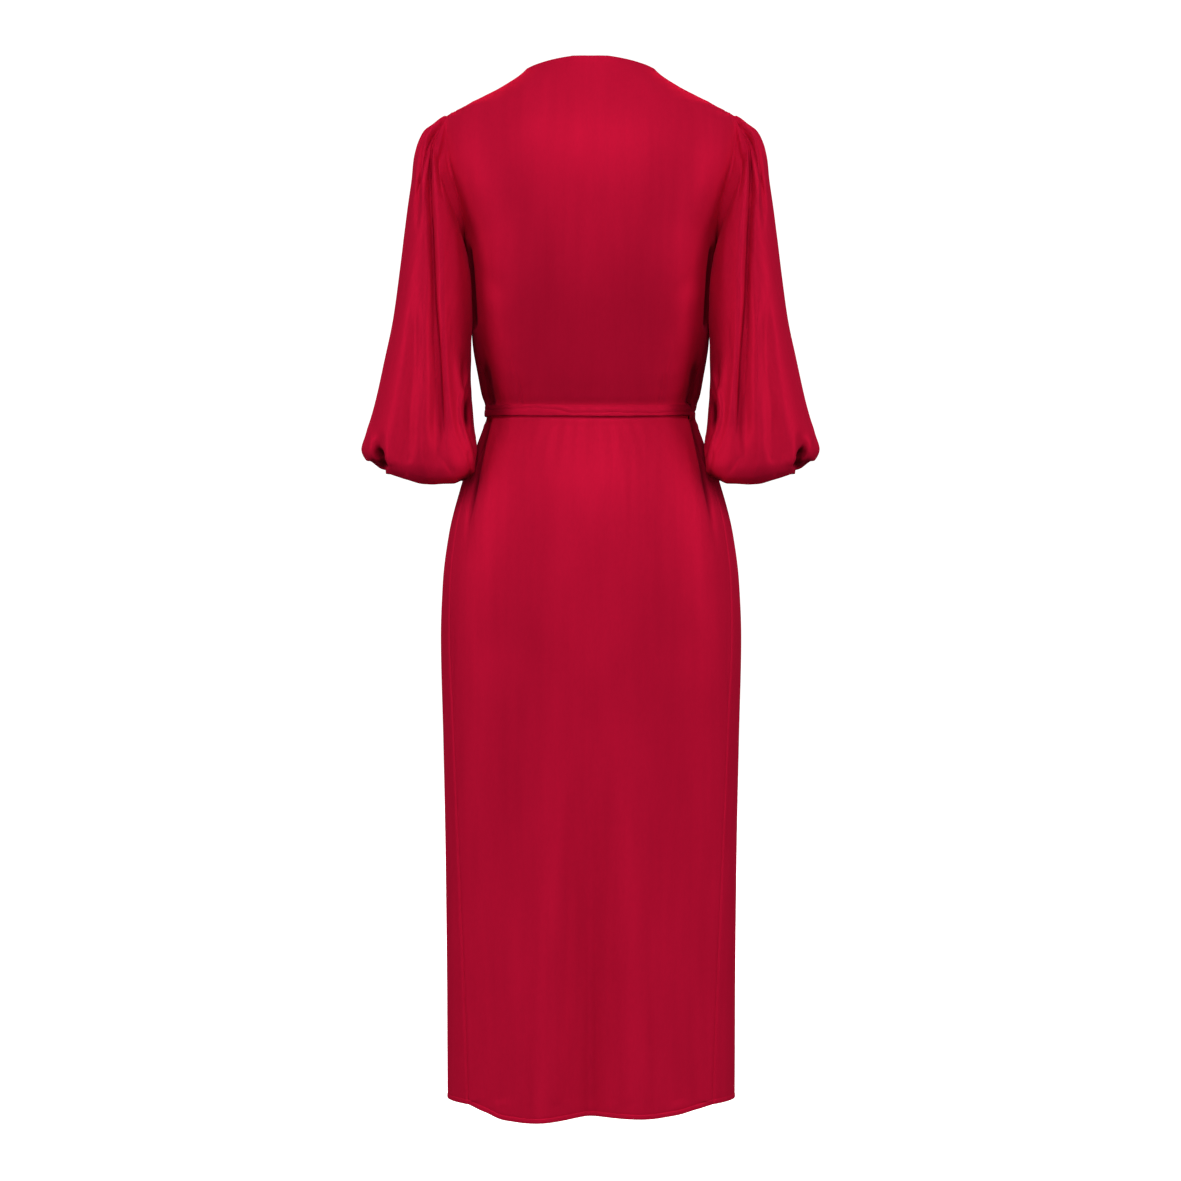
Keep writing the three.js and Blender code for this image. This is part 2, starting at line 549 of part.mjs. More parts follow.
// A corner of the armhole's edge on the body, at an angle in degrees from its top.
function armholeCorner(turn, side) {
  const depth = side === "back" ? ARMHOLE_BACK : ARMHOLE_FRONT;
  const [along, edge] = [Math.cos(radians(turn)), ARMHOLE_HALF_HEIGHT - SEAM_GAP / 2];
  const z = ARMHOLE_MID_Z + edge * along;
  const y = Math.max(0, armholeY(ARMHOLE_MID_Z + ARMHOLE_HALF_HEIGHT * along, depth) - SEAM_GAP / 2);
  return bodySurface(angleAtY(y, z, side), z);
}

// A point of the armhole's edge, on the straight run between two corners, at an angle from its top towards the back.
function armholePoint(angle) {
  const turn = turnBetween(degrees(angle), 0);
  const side = turn >= 0 ? "back" : "front";
  const next = Math.max(1, ARMHOLE_CORNERS.findIndex((corner) => corner >= Math.abs(turn) - 1e-9));
  const [from, to] = [ARMHOLE_CORNERS[next - 1], ARMHOLE_CORNERS[next]];
  return armholeCorner(from, side).lerp(armholeCorner(to, side), (Math.abs(turn) - from) / (to - from));
}

// A point on a plain cross-section of the sleeve.
function sleeveSection(angle, run) {
  const [cos, sin] = [Math.cos(angle), Math.sin(angle)];
  const fullness = (Math.abs(cos) ** SLEEVE_SQUARE + Math.abs(sin) ** SLEEVE_SQUARE) ** (-1 / SLEEVE_SQUARE);
  const [outX, inX] = [sleeveSize("outX", run), sleeveSize("inX", run)];
  const [outZ, inZ] = [sleeveSize("outZ", run), sleeveSize("inZ", run)];
  const [depth, deepZ] = sin >= 0 ? ["back", "backZ"] : ["front", "frontZ"];
  const middleZ = (outZ + inZ) / 2;
  const x = (outX + inX) / 2 + ((outX - inX) / 2) * cos * fullness;
  const z = middleZ + ((outZ - inZ) / 2) * cos + (sleeveSize(deepZ, run) - middleZ) * sin * sin;
  return new THREE.Vector3(x, sleeveSize("shift", run) + sleeveSize(depth, run) * sin * fullness, z);
}

// How far pleats, folds and the cuff's gathers move the sleeve's cloth out.
function sleeveFold(line, run) {
  const angle = degrees(line);
  let out = 0;
  for (const fold of SLEEVE_FOLDS) {
    const reach = Math.min(0.12, (fold.end - fold.start) / 3);
    const along = ramp(run, fold.start, fold.start + reach) * ramp(run, fold.end, fold.end - reach);
    out += fold.depth * along * bump(turnBetween(angle, fold.angle), fold.width);
  }
  const { count, depth, start, full, end, endDepth } = CUFF_GATHERS;
  const gather = depth * ramp(run, start, full) - (depth - endDepth) * ramp(run, full, end);
  return out + gather * Math.cos(count * line);
}

// Keeps a point of the sleeve clear of the body of the dress beside it.
function clearOfBody(point, gap) {
  const side = point.y >= 0 ? "back" : "front";
  const share = Math.abs(point.y) / bodySize(side, point.z);
  if (share >= 1) return point;
  const square = bodySize("square", point.z);
  const nearest = bodySize("half", point.z) * (1 - share ** square) ** (1 / square) + gap;
  const softness = 1.2;
  const over = (point.x - nearest) / softness;
  if (over < 12) point.x = nearest + softness * Math.log1p(Math.exp(over));
  return point;
}

// A point of the left sleeve's outer face, for a lengthwise line of the cloth and a run down it.
function sleeveSurface(line, run) {
  const angle = spreadAngle(line, run);
  const top = spreadAngle(line, 0);
  const point = sleeveSection(angle, run);
  const middle = sleeveSection(0, run).add(sleeveSection(Math.PI, run)).multiplyScalar(0.5);
  const outward = new THREE.Vector3(point.x - middle.x, point.y, 0).normalize();
  point.addScaledVector(outward, sleeveFold(line, run));
  const leaving = 1 - ramp(run, 0, ARMHOLE_REACH);
  point.addScaledVector(armholePoint(top).sub(sleeveSection(top, 0)), leaving);
  return run > 0.04 ? clearOfBody(point, SLEEVE_CLEAR * ramp(run, 0.04, 0.12)) : point;
}

// A sleeve as one tube from the armhole round its bloused bottom to the cuff. `side` is 1 for the left.
function sleeveGeometry(side) {
  const [outer, inner] = [[], []];
  for (const run of SLEEVE_RUNS) {
    const [outerRow, innerRow] = [[], []];
    for (let column = 0; column < SLEEVE_COLUMNS; column++) {
      const line = (column / SLEEVE_COLUMNS) * 2 * Math.PI;
      const point = sleeveSurface(line, run);
      const step = 0.004;
      const [before, after] = [Math.max(0, run - step), run + step];
      const alongRun = sleeveSurface(line, after).sub(sleeveSurface(line, before));
      const alongLine = sleeveSurface(line + radians(0.6), run).sub(sleeveSurface(line - radians(0.6), run));
      const normal = alongRun.cross(alongLine).normalize();
      const under = point.clone().addScaledVector(normal, -WALL);
      outerRow.push(point.setX(side * point.x));
      innerRow.push(under.setX(side * under.x));
    }
    outer.push(outerRow);
    inner.push(innerRow);
  }
  return wallGeometry(outer, inner, { tube: true });
}

// The narrow band that the sleeve is gathered into.
function cuffGeometry(side) {
  const face = (radius) =>
    [CUFF.top, (CUFF.top + CUFF.bottom) / 2, CUFF.bottom].map((z) =>
      Array.from({ length: CUFF.columns }, (_, i) => {
        const angle = (i / CUFF.columns) * 2 * Math.PI;
        return new THREE.Vector3(side * (CUFF.x + radius * Math.cos(angle)), radius * Math.sin(angle), z);
      }),
    );
  return wallGeometry(face(CUFF.radius), face(CUFF.radius - WALL), { tube: true });
}

// Every piece of the dress, by name.
function pieces() {
  const sides = [
    { word: "left", side: 1 },
    { word: "right", side: -1 },
  ];
  const made = {
    bodice_back: bodiceBack(),
    bodice_front_left: bodiceFront(1),
    bodice_front_right: bodiceFront(-1, overlapOut),
    skirt_back: skirtBack(),
    skirt_front_left: skirtFront(1),
    skirt_front_right: skirtFront(-1, overlapOut),
    belt_tie_long: longTie(),
    belt_tie_short: shortTie(),
    belt_knot: knotGeometry(),
  };
  for (const { word, side } of sides) {
    made[`sleeve_${word}`] = sleeveGeometry(side);
    made[`cuff_${word}`] = cuffGeometry(side);
  }
  for (const tail of TAILS) made[tail.name] = tailGeometry(tail);
  return made;
}

const dress = new THREE.Group();
dress.name = "wrap_dress";
for (const [name, geometry] of Object.entries(pieces())) {
  const satin = new THREE.MeshStandardMaterial({ color: SATIN_RED, roughness: SATIN_ROUGHNESS, metalness: 0 });
  const mesh = new THREE.Mesh(geometry, satin);
  mesh.name = name;
  dress.add(mesh);
}

export default dress;
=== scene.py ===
"""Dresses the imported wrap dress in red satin: thin cloth on each solid's form, with folds, seams and hems.

The tables hold millimetres and the meshes metres. +Z is up, the front faces -Y and the wearer's left is +X,
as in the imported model. Creases are placed as they look from the camera, which stands level with the hips
behind the dress.
"""

from __future__ import annotations

import logging
import math
from collections.abc import Callable, Mapping, Sequence
from dataclasses import dataclass, field
from enum import Enum

import bmesh
import bpy
import numpy as np
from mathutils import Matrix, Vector

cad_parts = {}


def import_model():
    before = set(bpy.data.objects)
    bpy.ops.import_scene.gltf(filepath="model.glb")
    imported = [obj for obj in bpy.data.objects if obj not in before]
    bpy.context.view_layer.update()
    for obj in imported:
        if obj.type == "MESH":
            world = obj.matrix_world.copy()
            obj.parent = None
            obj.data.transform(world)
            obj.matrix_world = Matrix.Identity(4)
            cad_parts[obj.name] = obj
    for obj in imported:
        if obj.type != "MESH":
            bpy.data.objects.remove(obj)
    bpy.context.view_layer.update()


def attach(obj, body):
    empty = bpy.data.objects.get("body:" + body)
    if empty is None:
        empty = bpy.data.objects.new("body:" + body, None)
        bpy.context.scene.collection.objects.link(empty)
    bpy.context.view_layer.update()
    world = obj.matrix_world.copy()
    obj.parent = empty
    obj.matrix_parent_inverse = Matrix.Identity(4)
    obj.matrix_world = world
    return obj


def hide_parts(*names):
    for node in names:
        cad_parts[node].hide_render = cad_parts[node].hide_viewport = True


LOG = logging.getLogger("wrap_dress")
MM = 0.001
FULL_TURN = 2.0 * math.pi

# The camera: how far behind the dress it stands, its height, and the width it sees at the dress.
CAMERA_DISTANCE = 3200.0
CAMERA_HEIGHT = -606.5
VIEW_WIDTH = 1381.8

# Cloth and seams.
SEAM_GAP = 0.06  # between two panels that are sewn together
SEAM_TUCK = 2.6  # how far the edge of one of them reaches under the other
WALL = 1.2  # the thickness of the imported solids' walls
PLY_GAP = 0.6
OVERLAP_OUT = WALL + PLY_GAP
CLOTH = 0.55  # the thickness that the cloth is drawn with
CLOTH_SUFFIX = "_cloth"  # a piece's name is its solid's name with this
NEAR_EDGE = (0.0, 0.6, 1.3, 2.2, 3.4, 5.0)  # where the mesh has rows beside a seam
MIDDLE_FROM = 6.2  # where its even rows start

WAIST_Z = -397.0
WAIST_DROP = 5.2  # how far the belt and the waist hang lower at the centre back
WAIST_DROP_REACH = 60.0
HEM_Z = -1201.0
SHOULDER_Z = -48.0
UNDERARM_Z = -200.0
FRONT_TOP_Z = -1.0

Array = np.ndarray


def ramp(value: Array | float, start: float, end: float) -> Array:
    """Rise smoothly from 0 at start to 1 at end, whichever is larger.

    Args:
        value: The numbers to read the ramp at.
        start: Where the ramp is 0.
        end: Where the ramp is 1.

    Returns:
        The ramp's height at each value.
    """
    share = np.clip((np.asarray(value, float) - start) / (end - start), 0.0, 1.0)
    return share * share * (3.0 - 2.0 * share)


def bump(away: Array, width: float) -> Array:
    """Return a soft bump, 1 in its middle and narrow at both ends."""
    return np.exp(-((away / width) ** 2))


def turn_between(a: Array, b: Array | float) -> Array:
    """Return the smallest turn in degrees from b to a."""
    return (np.asarray(a) - b + 180.0) % 360.0 - 180.0


class Table:
    """A table with named columns, read on a smooth curve that never overshoots its rows."""

    def __init__(self, key: str, columns: Sequence[str], rows: Sequence[Sequence[float]]) -> None:
        """Keep the rows in rising order of the key.

        Args:
            key: The name of the key column, which comes first in each row.
            columns: The names of the other columns.
            rows: The key and the other values of each row.
        """
        self.values = dict(zip((key, *columns), np.array(sorted(rows), float).T))
        self.at = self.values.pop(key)
        self.slopes = {name: self._slopes(column) for name, column in self.values.items()}

    def _slopes(self, column: Array) -> Array:
        """Work out the slope at each row, level wherever the column turns back."""
        steps = np.diff(column) / np.diff(self.at)
        before, after = steps[:-1], steps[1:]
        together = before * after > 0.0
        total = np.where(together, before + after, 1.0)
        inner = np.where(together, 2.0 * before * after / total, 0.0)
        return np.concatenate([steps[:1], inner, steps[-1:]])

    def read(self, name: str, value: Array | float) -> Array:
        """Read one column at any values of the key.

        Args:
            name: The column.
            value: Where to read it; values beyond the table read its ends.

        Returns:
            The column there.
        """
        clamped = np.clip(np.asarray(value, float), self.at[0], self.at[-1])
        found = np.clip(np.searchsorted(self.at, clamped, side="left") - 1, 0, len(self.at) - 2)
        step = self.at[found + 1] - self.at[found]
        t = (clamped - self.at[found]) / step
        column, slope = self.values[name], self.slopes[name]
        level = column[found] * (1 + 2 * t) * (1 - t) ** 2 + column[found + 1] * t * t * (3 - 2 * t)
        return level + step * (slope[found] * t * (1 - t) ** 2 + slope[found + 1] * t * t * (t - 1))


# Cross-sections of the body of the dress: half-width, depth to the back and to the front, how square it is.
BODY = Table(
    "z",
    ("half", "back", "front", "square"),
    (
        (40, 70, 48, 46, 2),
        (9, 73, 55, 52, 2),
        (0, 78, 62, 56, 2),
        (-20, 106, 74, 65, 2),
        (-35, 135, 83, 72, 2),
        (-48, 162, 90, 78, 2.1),
        (-60, 168.5, 95.5, 85, 2.2),
        (-78, 172, 102, 93, 2.25),
        (-103, 174, 109, 104, 2.3),
        (-133, 170, 114, 114, 2.3),
        (-165, 159, 117, 122, 2.3),
        (-200, 147, 117, 129, 2.3),
        (-250, 142, 113, 132, 2.25),
        (-317, 138, 100, 114, 2.2),
        (-359, 131, 90, 99, 2.2),
        (-379, 127, 84, 92, 2.2),
        (-389, 123.5, 81, 88.5, 2.2),
        (-404, 121.5, 81, 88.5, 2.2),
        (-415, 125.5, 85.5, 90.5, 2.2),
        (-440, 135, 96, 95, 2.2),
        (-485, 151.5, 112, 101, 2.2),
        (-541, 165.5, 123, 105, 2.2),
        (-598, 172.6, 127, 106, 2.2),
        (-660, 175, 126, 105, 2.2),
        (-780, 172.2, 119, 103, 2.2),
        (-950, 168.5, 113, 102, 2.2),
        (-1090, 166, 112, 104, 2.2),
        (-1240, 165, 113, 107, 2.2),
    ),
)

# Side seams: degrees round from the centre back.
SIDE_SEAM = Table(
    "z", ("angle",), ((-200, 90), (-300, 82), (-397, 75), (-640, 72), (-900, 70), (-1201, 66))
)

# Free edge of a wrap front: how far it stands to its own side of the centre.
WRAP_EDGE = Table(
    "z",
    ("x",),
    (
        (0, 78),
        (-4, 76.8),
        (-10, 75.3),
        (-22, 73),
        (-48, 68.5),
        (-80, 61),
        (-125, 45.5),
        (-165, 29),
        (-200, 14.5),
        (-235, 0),
        (-265, -14),
        (-300, -34),
        (-335, -55),
        (-365, -75),
        (-397, -96),
        (-640, -92),
        (-1201, -78),
    ),
)

# The hem's own height: how far it hangs below level, by degrees round from the centre back.
HEM_DROP = Table(
    "angle",
    ("drop",),
    (
        (-180, 0),
        (-110, -1),
        (-90, -3),
        (-79, -4.5),
        (-67, -5),
        (-59, -2),
        (-44, 1.5),
        (-27, 2.5),
        (0, 0.8),
        (27, 6.6),
        (44, 7),
        (59, 0.5),
        (67, -5),
        (79, -4.5),
        (90, -3),
        (110, -1),
        (180, 0),
    ),
)
HEM_SHIFT_START = -1060.0


class Face(Enum):
    """The side of the dress that a crease is placed on."""

    BACK = 1.0
    FRONT = -1.0


@dataclass(frozen=True)
class BodyFold:
    """A long soft fold of the skirt, by degrees round from the centre back."""

    top: float
    bottom: float
    width: float
    depth: float
    start: float
    full: float


@dataclass(frozen=True)
class WaistFold:
    """A fold drawn in by the belt, deepest beside it and fading out away from it."""

    angle: float
    width: float
    depth: float
    near: float
    far: float


@dataclass(frozen=True)
class Gathers:
    """Even gathers of the back skirt below the waist seam, in degrees and millimetres."""

    spacing: float = 9.375
    depth: float = 0.25
    near: float = -404.0
    full: float = -416.0
    far: float = -505.0
    span: float = 64.0


BODY_FOLDS = (
    BodyFold(0, 0, 11, -11, -600, -1150),
    BodyFold(22, 29, 12, 12, -700, -1170),
    BodyFold(-22, -29, 12, 9, -700, -1170),
    BodyFold(62, 58, 8, -5, -720, -1170),
    BodyFold(-62, -58, 8, -5, -720, -1170),
    BodyFold(84, 84, 10, 2, -820, -1170),
    BodyFold(-84, -84, 10, 2, -820, -1170),
    BodyFold(128, 118, 10, -8, -560, -1150),
    BodyFold(142, 140, 10, 9, -520, -1150),
    BodyFold(168, 176, 12, -8, -640, -1150),
    BodyFold(-154, -150, 13, 10, -620, -1150),
    BodyFold(-122, -120, 11, -7, -700, -1150),
)
WAIST_FOLDS = (
    WaistFold(72, 5, -4, -379, -335),
    WaistFold(-72, 5, -4, -379, -335),
    WaistFold(64, 6, -1.2, -418, -560),
    WaistFold(-64, 6, -1.2, -418, -560),
)


def as_seen(points: Array) -> tuple[Array, Array]:
    """Return where points look to be from the camera, across and up, in millimetres at the dress's middle."""
    near = CAMERA_DISTANCE / (CAMERA_DISTANCE - points[..., 1])
    return points[..., 0] * near, CAMERA_HEIGHT + (points[..., 2] - CAMERA_HEIGHT) * near


@dataclass(frozen=True)
class Crease:
    """One crease, along a path of (x, z) as it looks from behind, also where it is on a front.

    It fades out where the cloth turns away, between the two shares in `turned` of facing straight back.
    """

    path: tuple[tuple[float, float], ...]
    width: float
    depth: float
    fade: tuple[float, float] = (0.3, 0.3)
    face: Face = Face.BACK
    mirror: bool = True
    turned: tuple[float, float] = (-0.3, 0.08)

    def _curve(self, steps: int = 8) -> Array:
        """Round the path off with a smooth curve through its points."""
        points = np.array(self.path, float)
        if len(points) == 2:
            return np.linspace(points[0], points[1], steps)
        padded = np.vstack([2 * points[0] - points[1], points, 2 * points[-1] - points[-2]])
        t = np.linspace(0.0, 1.0, steps, endpoint=False)[:, None]
        spans = []
        for a, b, c, d in zip(padded, padded[1:], padded[2:], padded[3:]):
            square, cube = (2 * a - 5 * b + 4 * c - d) * t**2, (3 * b - a - 3 * c + d) * t**3
            spans.append(0.5 * (2 * b + (c - a) * t + square + cube))
        return np.vstack([*spans, points[-1:]])

    def _along(self, across: Array, up: Array, curve: Array) -> Array:
        """Return the crease's height at points of the picture, for one way round of its curve."""
        reach = 2.6 * self.width
        low, high = curve.min(0) - reach, curve.max(0) + reach
        inside = (across > low[0]) & (across < high[0]) & (up > low[1]) & (up < high[1])
        out = np.zeros_like(across)
        if not inside.any():
            return out
        px, pz = across[inside], up[inside]
        nearest, along = np.full(px.shape, np.inf), np.zeros_like(px)
        lengths = np.linalg.norm(np.diff(curve, axis=0), axis=1)
        total, gone = lengths.sum(), 0.0
        for (ax, az), (bx, bz), length in zip(curve, curve[1:], lengths):
            dx, dz = (bx - ax) / length, (bz - az) / length
            t = np.clip((px - ax) * dx + (pz - az) * dz, 0.0, length)
            ox, oz = px - ax - t * dx, pz - az - t * dz
            distance = np.hypot(ox, oz)
            along = np.where(distance < nearest, (gone + t) / total, along)
            nearest = np.minimum(distance, nearest)
            gone += length
        start, end = self.fade
        taper = ramp(along, 0.0, max(start, 1e-3)) * ramp(along, 1.0, 1.0 - max(end, 1e-3))
        out[inside] = self.depth * bump(nearest, self.width) * taper
        return out

    def heights(self, points: Array, facing: Array) -> Array:
        """Return how far the crease moves each point out.

        Args:
            points: The surface's points.
            facing: The y part of the surface's outward direction at each.

        Returns:
            The distance along that direction, negative where the crease is a trough.
        """
        across, up = as_seen(points)
        curve = self._curve()
        out = self._along(across, up, curve)
        if self.mirror:
            out = out + self._along(across, up, curve * np.array([-1.0, 1.0]))
        return out * ramp(facing * self.face.value, *self.turned)


def crease_heights(creases: Sequence[Crease], points: Array, facing: Array) -> Array:
    """Add up what several creases do to a surface, as Crease.heights does for one."""
    total = np.zeros(points.shape[:-1])
    for crease in creases:
        total += crease.heights(points, facing)
    return total


@dataclass(frozen=True)
class Slot:
    """The slot in the wearer's right side seam that the belt passes through."""

    width: float = 2.3
    open: float = 8.4  # how far from the waist the slot is fully open
    closed: float = 10.6


SLOT = Slot()


def waist_drop(theta: Array) -> Array:
    """Return how far the waist hangs down, by angle round from the centre back."""
    return WAIST_DROP * np.maximum(np.cos(theta), 0.0)


@dataclass(frozen=True)
class BodyForm:
    """The outer form of the bodice and skirt, round the z axis."""

    gathers: Gathers = Gathers()

    def size(self, column: str, z: Array) -> Array:
        """Read a column of the cross-sections."""
        return BODY.read(column, z)

    def fold(self, theta: Array, z: Array) -> Array:
        """Return how far the large folds and gathers move the cloth out."""
        angle = np.degrees(theta)
        out = np.zeros(np.broadcast(theta, z).shape)
        for fold in BODY_FOLDS:
            share = ramp(z, fold.start, fold.full)
            middle = fold.top + (fold.bottom - fold.top) * share
            out = out + fold.depth * share * bump(turn_between(angle, middle), fold.width)
        for fold in WAIST_FOLDS:
            beside = (fold.near > WAIST_Z) == (z > WAIST_Z)
            clear = ramp(np.abs(z - WAIST_Z), SLOT.open, abs(fold.near - WAIST_Z))
            share = np.where(beside, ramp(z, fold.far, fold.near) * clear, 0.0)
            out = out + fold.depth * share * bump(turn_between(angle, fold.angle), fold.width)
        g = self.gathers
        inside = ramp(np.abs(turn_between(angle, 0.0)), g.span, g.span - 12.0)
        gathered = ramp(z, g.near, g.full) * ramp(z, g.far, g.full) * inside
        return out + g.depth * gathered * np.cos(FULL_TURN * turn_between(angle, 0.0) / g.spacing)

    def surface(self, theta: Array, z: Array) -> Array:
        """Return points of the outer face at angles round from the centre back and heights."""
        sin, cos = np.sin(theta), np.cos(theta)
        square = self.size("square", z)
        depth = np.where(cos >= 0.0, self.size("back", z), self.size("front", z))
        sideways, lengthways = np.abs(sin / self.size("half", z)), np.abs(cos / depth)
        radius = (sideways**square + lengthways**square) ** (-1.0 / square) + self.fold(theta, z)
        hem_drop = HEM_DROP.read("drop", turn_between(np.degrees(theta), 0.0))
        lowered = z - hem_drop * ramp(z, HEM_SHIFT_START, HEM_Z)
        lowered = lowered - waist_drop(theta) * bump(z - WAIST_Z, WAIST_DROP_REACH)
        return np.stack([radius * sin, radius * cos, lowered], axis=-1)

    def normal(self, theta: Array, z: Array) -> Array:
        """Return the outward direction of the face."""
        turn, step = math.radians(0.4), 0.8
        along_turn = self.surface(theta + turn, z) - self.surface(theta - turn, z)
        along_z = self.surface(theta, z + step) - self.surface(theta, z - step)
        normal = np.cross(along_turn, along_z)
        normal /= np.linalg.norm(normal, axis=-1, keepdims=True)
        outward = np.stack([np.sin(theta), np.cos(theta), np.zeros_like(theta)], axis=-1)
        return np.where((normal * outward).sum(-1, keepdims=True) < 0.0, -normal, normal)

    def angle_at_x(self, x: Array, z: Array, face: Face) -> Array:
        """Return the angle at which the outline reaches x, on the back or the front."""
        square = self.size("square", z)
        depth = self.size("back" if face is Face.BACK else "front", z)
        share = np.minimum(1.0, np.abs(x) / self.size("half", z))
        y = depth * (1.0 - share**square) ** (1.0 / square)
        return np.arctan2(x, y) if face is Face.BACK else math.pi - np.arctan2(x, y)

    def angle_at_y(self, y: Array, z: Array, face: Face) -> Array:
        """Return the angle at which the outline reaches y behind or before its side."""
        square = self.size("square", z)
        share = y / self.size("back" if face is Face.BACK else "front", z)
        x = self.size("half", z) * (1.0 - share**square) ** (1.0 / square)
        return np.arctan2(x, y) if face is Face.BACK else math.pi - np.arctan2(x, y)


BODY_FORM = BodyForm()


@dataclass(frozen=True)
class Armhole:
    """The armhole's edge, an egg shape on the side of the body, wider below."""

    back: float = 50.0
    front: float = 55.0
    egg: float = 0.35

    @property
    def middle(self) -> float:
        """The height of its middle."""
        return (SHOULDER_Z + UNDERARM_Z) / 2.0

    @property
    def half_height(self) -> float:
        """Half of its height."""
        return (SHOULDER_Z - UNDERARM_Z) / 2.0

    def reach(self, z: Array, face: Face) -> Array:
        """Return how far its edge stands behind or before the side at a height."""
        rise = np.clip((z - self.middle) / self.half_height, -1.0, 1.0)
        depth = self.back if face is Face.BACK else self.front
        return depth * np.sqrt(1.0 - rise * rise) * (1.0 - self.egg * rise)

    def edge(self, turn: Array, inset: float) -> Array:
        """Return points of the edge at angles from its top towards the back.

        Args:
            turn: The angles.
            inset: How far inside the hole they lie; less than 0 is under the cloth round it.

        Returns:
            The points on the body's form.
        """
        along, behind = np.cos(turn), np.sin(turn) >= 0.0
        z = self.middle + (self.half_height - inset) * along
        full = self.middle + self.half_height * along
        points = []
        for face in (Face.BACK, Face.FRONT):
            y = np.maximum(0.0, self.reach(full, face) - inset)
            points.append(BODY_FORM.surface(BODY_FORM.angle_at_y(y, z, face), z))
        return np.where(behind[..., None], points[0], points[1])


ARMHOLE = Armhole()


def seam_angle(z: Array) -> Array:
    """Return half of the seam gap as an angle round the body."""
    return SEAM_GAP / 2.0 / BODY_FORM.size("half", z)


def slot_angle(z: Array) -> Array:
    """Return how far the wearer's right side seam is cut back where the belt passes through it."""
    return SLOT.width / BODY_FORM.size("half", z) * ramp(np.abs(z - WAIST_Z), SLOT.closed, SLOT.open)


def bodice_side(z: Array, face: Face) -> Array:
    """Return a bodice panel's outer boundary: side seam, then armhole, then shoulder seam."""
    sign = -face.value
    below = np.radians(SIDE_SEAM.read("angle", z)) + sign * seam_angle(z)
    above = math.pi / 2.0 + sign * seam_angle(z)
    held = np.clip(z, UNDERARM_Z, SHOULDER_Z)
    hole = BODY_FORM.angle_at_y(ARMHOLE.reach(held, face) + SEAM_GAP / 2.0, held, face)
    return np.where(z <= UNDERARM_Z, below, np.where(z >= SHOULDER_Z, above, hole))


def skirt_side(z: Array, face: Face) -> Array:
    """Return a skirt panel's boundary at the side seam."""
    return np.radians(SIDE_SEAM.read("angle", z)) - face.value * seam_angle(z)


def wrap_edge(z: Array) -> Array:
    """Return the angle of a wrap front's free edge."""
    return BODY_FORM.angle_at_x(WRAP_EDGE.read("x", z), z, Face.FRONT)


def overlap_out(theta: Array, z: Array) -> Array:
    """Return how far out the upper wrap front lies over the lower one."""
    return OVERLAP_OUT * ramp(theta - bodice_side(z, Face.FRONT), 0.0, math.radians(26.0))


@dataclass(frozen=True)
class NeckArch:
    """The back neckline, an arch that is flat in the middle."""

    rise: float = 9.0
    flat_half: float = 21.0
    half: float = 78.0
    power: float = 1.4

    def side(self, z: Array) -> Array:
        """Return the back bodice's boundary: the neckline above 0 and the shoulder and side below."""
        share = np.clip(z / self.rise, 0.0, 1.0)
        x = self.flat_half + (self.half - self.flat_half) * (1.0 - share) ** (1.0 / self.power)
        neckline = BODY_FORM.angle_at_x(x, np.maximum(z, 0.0), Face.BACK)
        return np.where(z <= 0.0, bodice_side(z, Face.BACK), neckline)


NECK_ARCH = NeckArch()


# Layers of the colour: cells a metre across and along the cloth, finer layers, share over the ones before.
COLOUR_LAYERS = (((26.0, 9.0), 2.0, 0.0), ((95.0, 7.0), 1.0, 0.4), ((420.0, 130.0), 2.0, 0.3))
FLOATS = (2600.0, 240.0)  # the weave's own cells a metre
SLUBS = (420.0, 12.0)
SLUB_SHARE = 0.35
WEAVE_HEIGHT = 0.0002
PAINTED_SHADE_LEFT = 0.08  # how much of its colour the cloth keeps where the painted shade is full
